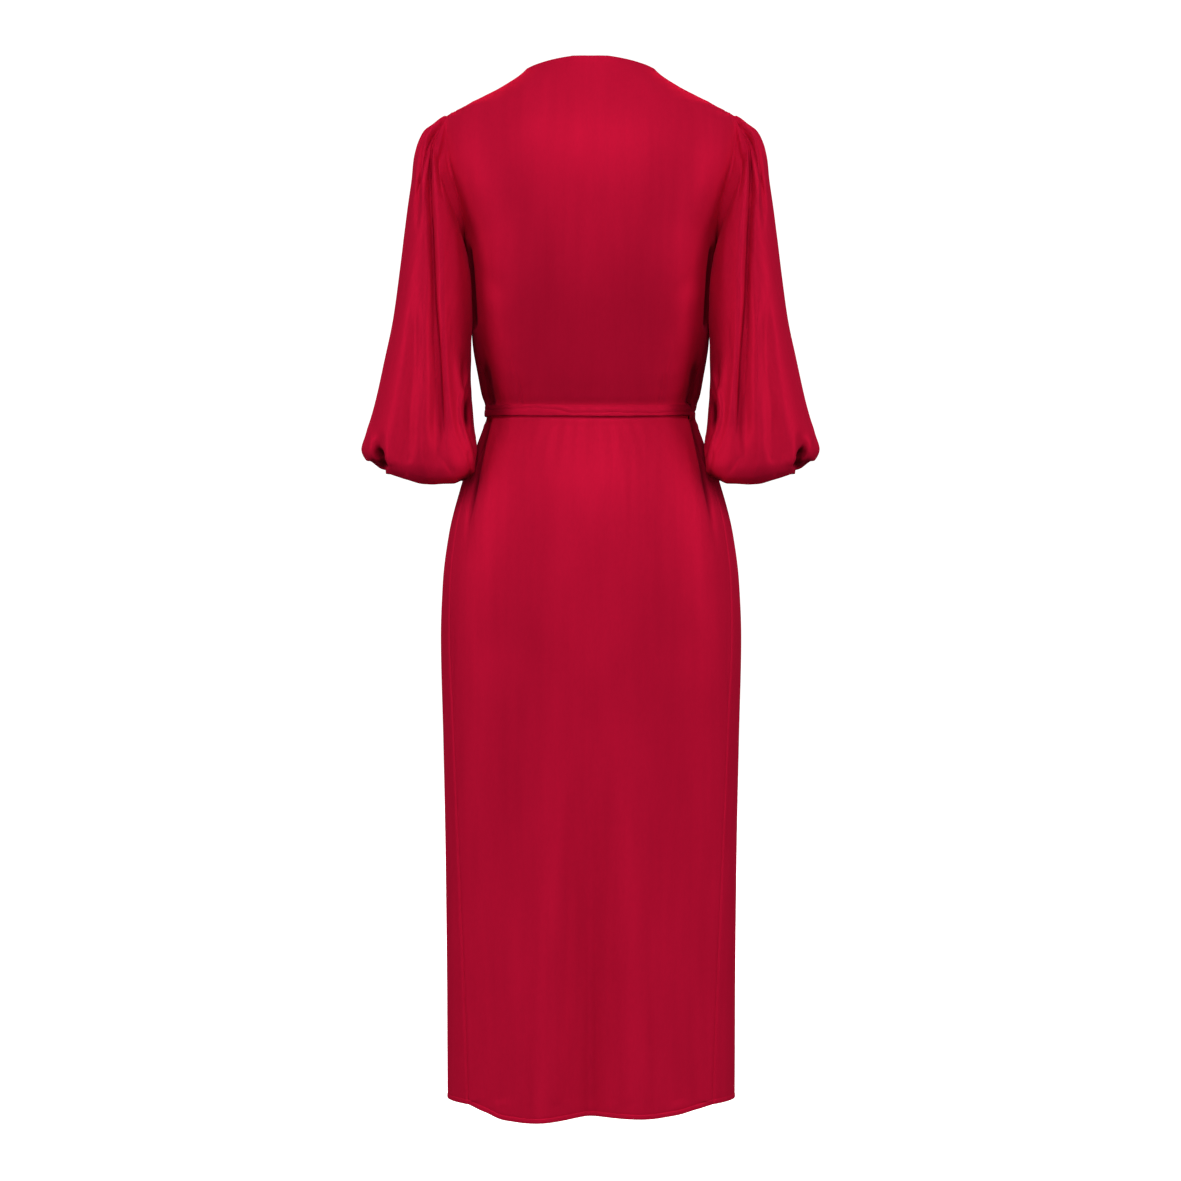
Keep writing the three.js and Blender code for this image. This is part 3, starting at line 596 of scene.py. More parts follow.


@dataclass(frozen=True)
class Finish:
    """A satin finish; every number goes on the shader's own socket."""

    name: str
    colour: tuple[float, float, float]
    shade: tuple[float, float, float]
    roughness: float
    metallic: float
    specular: float
    sheen: float
    weave: float
    cloud: float = 1.3
    sheen_roughness: float = 0.45
    sheen_tint: tuple[float, float, float] = (0.9, 0.03, 0.10)
    uneven: float = 0.05  # how far the roughness strays to either side

    def material(self) -> bpy.types.Material:
        """Build the material, or return the one already built.

        Returns:
            A material whose colour clouds, weave and roughness follow the cloth's own UV map.
        """
        found = bpy.data.materials.get(self.name)
        if found:
            return found
        material = bpy.data.materials.new(self.name)
        material.use_nodes = True
        tree = material.node_tree
        tree.nodes.clear()
        output = tree.nodes.new("ShaderNodeOutputMaterial")
        shader = tree.nodes.new("ShaderNodeBsdfPrincipled")
        tree.links.new(shader.outputs["BSDF"], output.inputs["Surface"])
        shader.inputs["Metallic"].default_value = self.metallic
        shader.inputs["Specular IOR Level"].default_value = self.specular
        shader.inputs["Specular Tint"].default_value = (*self.colour, 1.0)
        shader.inputs["Sheen Weight"].default_value = self.sheen
        shader.inputs["Sheen Roughness"].default_value = self.sheen_roughness
        shader.inputs["Sheen Tint"].default_value = (*self.sheen_tint, 1.0)
        cloth = tree.nodes.new("ShaderNodeUVMap")
        cloth.uv_map = "cloth"
        self._colour(tree, shader, cloth)
        self._weave(tree, shader, cloth)
        return material

    def _noise(
        self, tree: bpy.types.NodeTree, cloth: bpy.types.Node, scale: tuple[float, float], detail: float
    ) -> bpy.types.Node:
        """Add a noise stretched along the cloth.

        Args:
            tree: The material's nodes.
            cloth: The node that reads the places on the flat cloth.
            scale: How many cells a metre across and along the cloth.
            detail: How many finer layers it has.

        Returns:
            The noise node.
        """
        mapping = tree.nodes.new("ShaderNodeMapping")
        mapping.inputs["Scale"].default_value = (*scale, 1.0)
        tree.links.new(cloth.outputs["UV"], mapping.inputs["Vector"])
        noise = tree.nodes.new("ShaderNodeTexNoise")
        noise.inputs["Scale"].default_value = 1.0
        noise.inputs["Detail"].default_value = detail
        tree.links.new(mapping.outputs["Vector"], noise.inputs["Vector"])
        return noise

    def _mixed(
        self, tree: bpy.types.NodeTree, under: bpy.types.NodeSocket, over: bpy.types.NodeSocket, share: float
    ) -> bpy.types.NodeSocket:
        """Mix two values.

        Args:
            tree: The material's nodes.
            under: The first value.
            over: The second one.
            share: How much of the second is in the mix.

        Returns:
            The socket that holds the mix.
        """
        mix = tree.nodes.new("ShaderNodeMix")
        mix.data_type = "FLOAT"
        mix.inputs[0].default_value = share
        tree.links.new(under, mix.inputs[2])
        tree.links.new(over, mix.inputs[3])
        return mix.outputs[0]

    def _colour(self, tree: bpy.types.NodeTree, shader: bpy.types.Node, cloth: bpy.types.Node) -> None:
        """Give the shader faint clouds and lengthwise streaks of colour, darkened by the painted shade of
        creases and gaps.
        """
        mixed = None
        for scale, detail, share in COLOUR_LAYERS:
            layer = self._noise(tree, cloth, scale, detail).outputs[0]
            mixed = layer if mixed is None else self._mixed(tree, mixed, layer, share)
        colours = tree.nodes.new("ShaderNodeValToRGB")
        dark, bright = colours.color_ramp.elements
        dark.position, bright.position = 0.5 - 0.25 / self.cloud, 0.5 + 0.25 / self.cloud
        dark.color, bright.color = (*self.shade, 1.0), (*self.colour, 1.0)
        tree.links.new(mixed, colours.inputs["Fac"])
        # Painted shade: the hollow attribute mixes the colour towards a near-black red in creases and in the
        # gaps beside the sleeves.
        hollow = tree.nodes.new("ShaderNodeAttribute")
        hollow.attribute_name = "hollow"
        shade_mix = tree.nodes.new("ShaderNodeMix")
        shade_mix.data_type = "RGBA"
        tree.links.new(hollow.outputs["Fac"], shade_mix.inputs[0])
        tree.links.new(colours.outputs["Color"], shade_mix.inputs[6])
        shade_mix.inputs[7].default_value = (*(PAINTED_SHADE_LEFT * value for value in self.shade), 1.0)
        tree.links.new(shade_mix.outputs[2], shader.inputs["Base Color"])

    def _weave(self, tree: bpy.types.NodeTree, shader: bpy.types.Node, cloth: bpy.types.Node) -> None:
        """Give the shader the fine lengthwise floats of the weave, in its bump and its roughness."""
        floats, slubs = (self._noise(tree, cloth, scale, 2.0).outputs["Fac"] for scale in (FLOATS, SLUBS))
        weave = tree.nodes.new("ShaderNodeBump")
        weave.inputs["Strength"].default_value = self.weave
        weave.inputs["Distance"].default_value = WEAVE_HEIGHT
        tree.links.new(self._mixed(tree, floats, slubs, SLUB_SHARE), weave.inputs["Height"])
        tree.links.new(weave.outputs["Normal"], shader.inputs["Normal"])
        spread = tree.nodes.new("ShaderNodeMapRange")
        spread.inputs["To Min"].default_value = self.roughness - self.uneven
        spread.inputs["To Max"].default_value = self.roughness + self.uneven
        tree.links.new(slubs, spread.inputs["Value"])
        tree.links.new(spread.outputs["Result"], shader.inputs["Roughness"])


SATIN_RIGHT = Finish(
    name="satin right side",
    colour=(0.66, 0.0075, 0.045),
    shade=(0.57, 0.0062, 0.038),
    roughness=0.46,
    metallic=0.14,
    specular=0.0,
    sheen=0.3,
    weave=0.35,
)
SATIN_WRONG = Finish(
    name="satin wrong side",
    colour=(0.42, 0.0060, 0.030),
    shade=(0.37, 0.0050, 0.026),
    roughness=0.62,
    metallic=0.0,
    specular=0.08,
    sheen=0.0,
    weave=0.4,
)


OWN_DIRECTION = 0.35  # how much of the form's own direction the cloth's wall keeps
PAINTED_SHADE_FROM = 1.3  # the depth of a crease from which painted shade darkens its colour
PAINTED_SHADE_OVER = 3.0
PAINTED_SHADE_MOST = 0.85
SHARP_ANGLE = math.radians(62.0)


@dataclass
class Cloth:
    """A panel's outer face: rows and columns of points with their directions and places on the cloth."""

    points: Array
    normals: Array
    flat: Array
    thickness: Array | float = CLOTH
    tube: bool = False
    # painted shade that darkens the cloth's colour at each point, from 0 to 1
    hollow: Array | float = 0.0

    def moved(self, out: Array) -> "Cloth":
        """Return the cloth with each point moved out along its own direction."""
        points = self.points + self.normals * out[..., None]
        return Cloth(points, self.normals, self.flat, self.thickness, self.tube)

    def smoothed(self) -> "Cloth":
        """Return the cloth with its directions taken from its own points, so its wall is evenly thick."""
        points = self.points
        if self.tube:
            wide = np.concatenate([points[:, -1:], points, points[:, :1]], axis=1)
            across = wide[:, 2:] - wide[:, :-2]
        else:
            across = np.gradient(points, axis=1)
        along = np.gradient(points, axis=0)
        normals = np.cross(across, along)
        length = np.linalg.norm(normals, axis=-1, keepdims=True)
        good = length > 1e-6
        normals = np.where(good, normals / np.where(good, length, 1.0), self.normals)
        normals = np.where((normals * self.normals).sum(-1, keepdims=True) < 0.0, -normals, normals)
        blended = normals + OWN_DIRECTION * self.normals
        blended /= np.linalg.norm(blended, axis=-1, keepdims=True)
        return Cloth(points, blended, self.flat, self.thickness, self.tube)


def quads_between(index: Array, flat: Array, turn: bool) -> tuple[Array, Array]:
    """Return the quads over a grid of vertices and their places on the cloth.

    Args:
        index: The grid of vertex numbers.
        flat: The grid of places on the flat cloth.
        turn: Whether the quads face the other way.

    Returns:
        The quads' vertices and UVs.
    """
    first, second = slice(None, -1), slice(1, None)
    corners = [(first, first), (first, second), (second, second), (second, first)]
    if turn:
        corners = corners[::-1]
    quads = np.stack([index[corner] for corner in corners], axis=-1).reshape(-1, 4)
    places = np.stack([flat[corner] for corner in corners], axis=-2).reshape(-1, 4, 2)
    return quads, places


def painted_crease_shade(creased: Array) -> Array:
    """Return the painted shade of the creases, from 0 to 1, by how far they move the cloth in."""
    return PAINTED_SHADE_MOST * np.clip((-creased - PAINTED_SHADE_FROM) / PAINTED_SHADE_OVER, 0.0, 1.0)


def mesh_object(
    name: str,
    points: Array,
    faces: Array,
    places: Array,
    inside: Array,
    hollow: Array,
    finishes: Sequence[Finish],
) -> bpy.types.Object:
    """Make a mesh object from quads.

    Args:
        name: The solid's name.
        points: Its vertices in millimetres.
        faces: The vertices of each quad.
        places: The UVs of each quad's corners, in millimetres on the cloth.
        inside: Which finish each quad has.
        hollow: How much painted shade darkens the cloth's colour at each vertex, from 0 to 1.
        finishes: The finishes.

    Returns:
        The object, linked to the scene.
    """
    mesh = bpy.data.meshes.new(name)
    mesh.vertices.add(len(points))
    mesh.vertices.foreach_set("co", (points * MM).astype(np.float32).ravel())
    mesh.loops.add(faces.size)
    mesh.loops.foreach_set("vertex_index", faces.astype(np.int32).ravel())
    mesh.polygons.add(len(faces))
    mesh.polygons.foreach_set("loop_start", np.arange(0, faces.size, 4, dtype=np.int32))
    mesh.polygons.foreach_set("material_index", inside.astype(np.int32))
    mesh.update(calc_edges=True)
    mesh.attributes.new("hollow", "FLOAT", "POINT").data.foreach_set("value", hollow.astype(np.float32))
    layer = mesh.uv_layers.new(name="cloth")
    layer.data.foreach_set("uv", (places * MM).astype(np.float32).ravel())
    mesh.polygons.foreach_set("use_smooth", np.ones(len(faces), bool))
    mesh.set_sharp_from_angle(angle=SHARP_ANGLE)
    for finish in finishes:
        mesh.materials.append(finish.material())
    made = bpy.data.objects.new(name + CLOTH_SUFFIX, mesh)
    bpy.context.scene.collection.objects.link(made)
    return made


def shell(name: str, cloth: Cloth, inner: Finish = SATIN_WRONG) -> bpy.types.Object:
    """Make a thin closed wall of cloth from its outer face.

    Args:
        name: The solid's name.
        cloth: The outer face, which has the satin's right side, as the edges have.
        inner: The finish of the inner face.

    Returns:
        The wall as an object.
    """
    rows, columns = cloth.points.shape[:2]
    thickness = np.broadcast_to(np.asarray(cloth.thickness, float), (rows, columns))
    under = cloth.points - cloth.normals * thickness[..., None]
    points = np.concatenate([cloth.points.reshape(-1, 3), under.reshape(-1, 3)])
    index = np.arange(rows * columns).reshape(rows, columns)
    if cloth.tube:
        index = np.concatenate([index, index[:, :1]], axis=1)
    below = index + rows * columns
    middle = (rows // 2, columns // 2)
    across = cloth.points[middle[0], middle[1] + 1] - cloth.points[middle]
    along = cloth.points[middle[0] + 1, middle[1]] - cloth.points[middle]
    turn = float(np.dot(np.cross(across, along), cloth.normals[middle])) < 0.0
    parts = [(*quads_between(index, cloth.flat, turn), 0), (*quads_between(below, cloth.flat, not turn), 1)]
    rims = [(slice(0, 1), slice(None), 0), (slice(-1, None), slice(None), 1)]
    if not cloth.tube:
        rims += [(slice(None), slice(0, 1), 1), (slice(None), slice(-1, None), 0)]
    for row, column, other in rims:
        axis = 0 if row != slice(None) else 1
        strip = np.concatenate([index[row, column], below[row, column]], axis=axis)
        flat = np.concatenate([cloth.flat[row, column]] * 2, axis=axis)
        facing = turn if (other == 1) == (axis == 0) else not turn
        if axis == 1:
            facing = not facing
        parts.append((*quads_between(strip, flat, facing), 0))
    faces = np.concatenate([part[0] for part in parts])
    places = np.concatenate([part[1] for part in parts])
    inside = np.concatenate([np.full(len(part[0]), part[2]) for part in parts])
    hollow = np.tile(np.broadcast_to(np.asarray(cloth.hollow, float), (rows, columns)).ravel(), 2)
    return mesh_object(name, points, faces, places, inside, hollow, (SATIN_RIGHT, inner))


def arcs(points: Array, axis: int) -> Array:
    """Return the distance along each row (axis 1) or column (axis 0) of a grid from its first point."""
    steps = np.linalg.norm(np.diff(points, axis=axis), axis=-1)
    start = np.zeros_like(np.take(steps, [0], axis=axis))
    return np.concatenate([start, np.cumsum(steps, axis=axis)], axis=axis)


def spaced(spans: float, step: float) -> Array:
    """Return shares of a length, about a step apart, with more of them near both ends.

    Args:
        spans: The length in millimetres.
        step: The distance between them in the middle.

    Returns:
        The shares, from 0 to 1.
    """
    near = np.array(NEAR_EDGE)
    inner = np.linspace(MIDDLE_FROM, spans - MIDDLE_FROM, round(spans / step))
    return np.concatenate([near, inner, spans - near[::-1]]) / spans


class Border(Enum):
    """How a panel's edge is finished."""

    SEAM = "seam"  # rolled in, where it is sewn to the next panel
    HEM = "hem"  # a narrow hem, turned up and stitched
    EDGE = "edge"  # a faced edge, soft and slightly rounded
    OPEN = "open"  # left as it is


def border_out(border: Border, away: Array, along: Array) -> Array:
    """Return how far an edge's finish moves the cloth out.

    Args:
        border: The finish.
        away: The distance from the edge.
        along: The distance along it.

    Returns:
        The distance that each point is moved.
    """
    if border is Border.SEAM:
        pucker = 1.0 + 0.35 * np.sin(along / 3.1 + 1.3 * np.sin(along / 23.0))
        return -0.85 * bump(away, 1.3) + 0.16 * pucker * bump(away - 4.2, 2.4)
    if border is Border.HEM:
        pucker = np.sin(along / 4.3 + 1.7 * np.sin(along / 31.0))
        band = 0.34 * (1.0 - ramp(away, 4.6, 5.4)) - 0.34 * bump(away, 0.7)
        return band - 0.3 * bump(away - 5.7, 0.75) + 0.07 * pucker * bump(away - 4.6, 3.6)
    if border is Border.EDGE:
        pucker = np.sin(along / 5.9 + 1.9 * np.sin(along / 37.0))
        return 0.3 * bump(away - 1.6, 1.7) - 0.35 * bump(away, 0.6) + 0.05 * pucker * bump(away - 6.0, 4.0)
    return np.zeros_like(away)


def border_wall(border: Border, away: Array) -> Array:
    """Return how much thicker the cloth is near an edge, where it is turned in."""
    if border is Border.HEM:
        return 0.75 * (1.0 - ramp(away, 4.8, 5.6))
    if border is Border.EDGE:
        return 0.45 * (1.0 - ramp(away, 8.0, 10.0))
    return np.zeros_like(away)


@dataclass(frozen=True)
class Ripples:
    """Fine lengthwise waves that the weave and the handling leave in light satin."""

    depth: float
    spacing: float
    top: float
    bottom: float
    seed: int

    def heights(self, across: Array, z: Array) -> Array:
        """Return the waves at distances across the cloth and heights."""
        random = np.random.default_rng(self.seed)
        total = np.zeros(np.broadcast(across, z).shape)
        for share in (1.0, 0.62, 1.55, 2.3):
            phase, drift, tall = random.uniform(0.0, FULL_TURN, 3)
            lean = 0.9 * np.sin(z / (85.0 + 40.0 * share) + drift)
            strength = 0.55 + 0.45 * np.sin(z / 61.0 + tall + across / 47.0)
            turns = FULL_TURN * across / (self.spacing * share)
            total += strength * np.sin(turns + phase + lean) * share**0.5
        inside = ramp(z, self.top, self.top - 30.0) * ramp(z, self.bottom, self.bottom + 60.0)
        return self.depth * total * inside / 2.2


@dataclass(frozen=True)
class SideShade:
    """Painted shade: how dark the body's cloth colour is painted in the narrow gap beside a sleeve, by share
    of its half-width.
    """

    bodice_from: float = 0.76
    bodice_power: float = 1.8
    bodice_most: float = 0.86
    skirt_from: float = 0.9
    skirt_full: float = 0.98
    skirt_most: float = 0.6
    waist_most: float = 0.12
    bodice_z: tuple[float, float] = (-215.0, -360.0)
    skirt_z: tuple[float, float] = (-530.0, -430.0)
    waist_z: tuple[float, float] = (-170.0, -300.0)
    middle: tuple[float, float] = (0.9, 0.6)
    behind: tuple[float, float] = (-45.0, 5.0)

    def at(self, points: Array) -> Array:
        """Return how much painted shade darkens each point, from 0 to 1: in the gap beside a sleeve, and
        faintly over the middle of the back towards the waist.
        """
        z = points[..., 2]
        share = np.abs(points[..., 0]) / BODY_FORM.size("half", z)
        on_bodice = ramp(z, WAIST_Z - 5.0, WAIST_Z)
        bodice = np.clip((share - self.bodice_from) / (1.0 - self.bodice_from), 0.0, 1.0)
        bodice = self.bodice_most * bodice**self.bodice_power * ramp(z, *self.bodice_z) * on_bodice
        skirt = self.skirt_most * ramp(share, self.skirt_from, self.skirt_full)
        skirt = skirt * (1.0 - on_bodice) * ramp(z, *self.skirt_z)
        waist = self.waist_most * ramp(z, *self.waist_z) * on_bodice * ramp(share, *self.middle)
        return np.clip(bodice + skirt + waist, 0.0, 1.0) * ramp(points[..., 1], *self.behind)


SIDE_SHADE = SideShade()
SOFTENED_OVER = 24.0  # how far up and down the form's slopes are evened out
BELT_CLEAR, BELT_FREE = 6.8, 10.0  # from the waist: where creases are flattened under the belt, and where not
UNDER_BELT = (-0.8, 0.3)  # how far creases may stand in and out there
ARMHOLE_CALM = 4.5  # how far from the armhole creases start
CALM_BELOW = 12.0  # how far below the armhole they are all there
# Where an edge comes out from under its neighbour: heights from the underarm and from the shoulder, between
# which it is at the armhole, and distances from the waist, within which the belt needs its room.
TUCK_UNDERARM = (-9.0, -5.0)
TUCK_SHOULDER = (1.5, 0.0)
TUCK_BELT = (11.0, 15.0)


def close_to_body(theta: Array, z: Array) -> Array:
    """Return that a panel lies on the body's own form."""
    return np.zeros(np.broadcast(theta, z).shape)


@dataclass
class Panel:
    """A cut panel of the bodice or the skirt, over its solid's own form."""

    name: str
    cut: tuple[float, float]
    cut_area: float | None
    heights: Array
    start: Callable[[Array], Array]
    end: Callable[[Array], Array]
    width: float
    out: Callable[[Array, Array], Array] = close_to_body
    side: float = 1.0
    borders: Mapping[str, Border] = field(default_factory=dict)
    creases: Sequence[Crease] = ()
    ripples: Sequence[Ripples] = ()
    step: float = 3.0
    tucks: bool = False

    def cloth(self) -> Cloth:
        """Work out the panel's outer face, with its creases and edge finishes."""
        shares = spaced(self.width, self.step)
        z = self.heights[:, None] + np.zeros_like(shares)
        theta = self.start(z) + (self.end(z) - self.start(z)) * shares
        tuck = self._tuck(z[:, 0])
        theta[:, 0] -= tuck / BODY_FORM.size("half", z[:, 0])
        turned = self.side * theta
        normals = BODY_FORM.normal(turned, z)
        lying = self._softened(turned, z) + normals * self.out(theta, z)[..., None]
        across, along = arcs(lying, 1), arcs(lying, 0)
        middle = across[:, [len(shares) // 2]]
        cloth = Cloth(lying, normals, np.stack([self.side * (across - middle), along], axis=-1))
        creased = self._creased(cloth, across, z) + self._edges(across - tuck[:, None], along)
        creased[:, 0] -= 0.5 * tuck
        moved = cloth.moved(self._under_belt(creased, z))
        moved.thickness = CLOTH + self._walls(across, along)
        smooth = moved.smoothed()
        # Painted shade: the colour is darkened in deep creases and in the gap beside the sleeves.
        smooth.hollow = np.maximum(painted_crease_shade(creased), SIDE_SHADE.at(lying))
        return smooth

    def _creased(self, cloth: Cloth, across: Array, z: Array) -> Array:
        """Return how far the creases and ripples move the cloth out; creases stop short of the armhole."""
        at_side = ramp(np.minimum(across, across[:, -1:] - across), ARMHOLE_CALM, 0.0)
        at_armhole = at_side * ramp(z, UNDERARM_Z - CALM_BELOW, UNDERARM_Z)
        creased = crease_heights(self.creases, cloth.points, cloth.normals[..., 1]) * (1.0 - at_armhole)
        for ripple in self.ripples:
            creased += ripple.heights(cloth.points[..., 0], z)
        return creased

    def _under_belt(self, creased: Array, z: Array) -> Array:
        """Return the creases flattened where the belt presses on them."""
        pressed = 1.0 - ramp(np.abs(z - WAIST_Z), BELT_CLEAR, BELT_FREE)
        return creased + (np.clip(creased, *UNDER_BELT) - creased) * pressed

    def _tuck(self, z: Array) -> Array:
        """Return how far the panel's first border reaches under its neighbour, clear of armhole and belt."""
        at_armhole = ramp(z - UNDERARM_Z, *TUCK_UNDERARM) * ramp(z - SHOULDER_Z, *TUCK_SHOULDER)
        clear = (1.0 - at_armhole) * ramp(np.abs(z - WAIST_Z), *TUCK_BELT)
        return SEAM_TUCK * float(self.tucks) * clear

    def _softened(self, theta: Array, z: Array) -> Array:
        """Return the form with its slow changes of slope rounded off, away from the panel's borders."""
        form = BODY_FORM.surface(theta, z)
        steps = np.linspace(-SOFTENED_OVER, SOFTENED_OVER, 9)
        mean = sum(BODY_FORM.surface(theta, z + step)[..., 1] for step in steps) / len(steps)
        across = arcs(form, 1)
        inside = ramp(np.minimum(across, across[:, -1:] - across), 2.0, 34.0)
        inside = inside * ramp(z, -24.0, -60.0) * ramp(z, HEM_Z + 140.0, HEM_Z + 190.0)
        inside = inside * ramp(np.abs(z - WAIST_Z), 30.0, 70.0)
        form[..., 1] += (mean - form[..., 1]) * inside
        return form

    def _away(self, across: Array, along: Array) -> dict[str, tuple[Array, Array]]:
        """Return each point's distances from and along the four borders."""
        return {
            "start": (across, along),
            "end": (across[:, -1:] - across, along),
            "bottom": (along, across),
            "top": (along[-1:] - along, across),
        }

    def _edges(self, across: Array, along: Array) -> Array:
        """Return how far the finishes of the borders move the cloth out."""
        total = np.zeros_like(across)
        for place, (away, beside) in self._away(across, along).items():
            total += border_out(self.borders.get(place, Border.OPEN), away, beside)
        return total

    def _walls(self, across: Array, along: Array) -> Array:
        """Return how much thicker the cloth is at its turned edges."""
        walls = [
            border_wall(self.borders.get(place, Border.OPEN), away)
            for place, (away, _) in self._away(across, along).items()
        ]
        return np.max(walls, axis=0)

    def build(self) -> bpy.types.Object:
        """Make the panel, hang it from the root and hide its solid."""
        return dress(shell(self.name, self.cloth()))


class Held(Enum):
    """How a piece of cloth is held."""

    HUNG = "hung"
    GATHERED = "gathered"
    FOLDED = "folded"


def dress(
    made: bpy.types.Object
) -> bpy.types.Object:
    """Hang a piece of cloth from the root and hide the solid that it stands for.

    Args:
        made: The piece.

    Returns:
        The piece.
    """
    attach(made, "root")
    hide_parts(made.name.removesuffix(CLOTH_SUFFIX))
    LOG.info("%s: %d faces", made.name, len(made.data.polygons))
    return made


SLEEVE = Table(
    "run",
    ("outX", "outZ", "inX", "inZ", "back", "backZ", "front", "frontZ", "shift"),
    (
        (0, 162, -48, 147, -200, 50, -124, 55, -124, 0),
        (0.05, 181, -60, 148.5, -208, 58, -134, 60, -134, 1),
        (0.1, 192.5, -70, 143, -217, 62, -144, 63, -144, 3),
        (0.18, 201.5, -90, 137, -234, 65, -163, 65, -163, 6),
        (0.3, 209.5, -137, 133.5, -262, 66, -200, 66, -200, 10),
        (0.42, 216, -185, 134, -293, 67, -240, 67, -240, 12),
        (0.54, 222, -235, 138, -325, 69, -281, 70, -281, 13),
        (0.66, 229.5, -290, 139.5, -358, 72, -326, 72, -325, 13),
        (0.76, 239.5, -339, 137.5, -390, 75, -368, 75, -366, 13),
        (0.85, 250, -386, 135, -420, 78, -409, 76, -404, 14),
        (0.92, 260, -421, 127, -446, 79, -443, 76, -434, 14),
        (0.96, 266.5, -442, 122, -461, 78, -462, 74, -455, 14),
        (1, 261, -455, 123, -472, 73, -477, 70, -470, 12),
        (1.04, 252.5, -460, 138, -477, 64, -483, 62, -478, 8),
        (1.08, 246, -461, 149.5, -472, 54, -476, 53, -472, 3),
        (1.12, 240.6, -457.2, 153.4, -457.2, 43.6, -457.2, 43.6, -457.2, 0),
    ),
)
SLEEVE_SPREAD = Table("run", ("spread",), ((0, -0.82), (0.3, -0.29), (0.6, 0.1), (0.85, 0.3), (1.12, 0.15)))


@dataclass(frozen=True)
class SleeveFold:
    """A lengthwise fold of a sleeve: degrees round from its top line, width, depth and its run."""

    angle: float
    width: float
    depth: float
    start: float
    end: float


SLEEVE_FOLDS = (
    SleeveFold(60, 6, -5.5, 0.01, 0.4),
    SleeveFold(75, 6, 3.5, 0.01, 0.34),
    SleeveFold(90, 7, -6.5, 0.01, 0.96),
    SleeveFold(105, 8, 3, 0.04, 0.9),
    SleeveFold(112.5, 5, -4, 0.01, 0.18),
    SleeveFold(22.5, 8, 2, 0.01, 0.3),
    SleeveFold(37.5, 6, -2.5, 0.01, 0.24),
    SleeveFold(60, 8, -4, 0.56, 1.04),
    SleeveFold(75, 8, 3, 0.5, 1.02),
    SleeveFold(127.5, 8, 3, 0.6, 1.02),
    SleeveFold(142.5, 8, -6, 0.56, 1.03),
    SleeveFold(37.5, 6, -9, 0.9, 1.11),
    SleeveFold(-22.5, 7, 2, 0.01, 0.28),
    SleeveFold(-45, 6, -5, 0.01, 0.36),
    SleeveFold(-60, 6, 3, 0.01, 0.34),
    SleeveFold(-75, 7, -6, 0.01, 0.92),
    SleeveFold(-97.5, 8, 3, 0.06, 0.9),
    SleeveFold(-112.5, 7, -5, 0.5, 1.02),
    SleeveFold(-135, 9, 3, 0.5, 1.02),
    SleeveFold(-37.5, 7, -6, 0.88, 1.1),
)


FAR_OVER = 12.0  # where a point is so far clear of the body that it needs no easing


@dataclass(frozen=True)
class CuffGathers:
    """The gathers that take the sleeve's fullness into the cuff."""

    count: int = 16
    depth: float = 2.2
    start: float = 1.0
    full: float = 1.08
    end: float = 1.12
    end_depth: float = 0.6


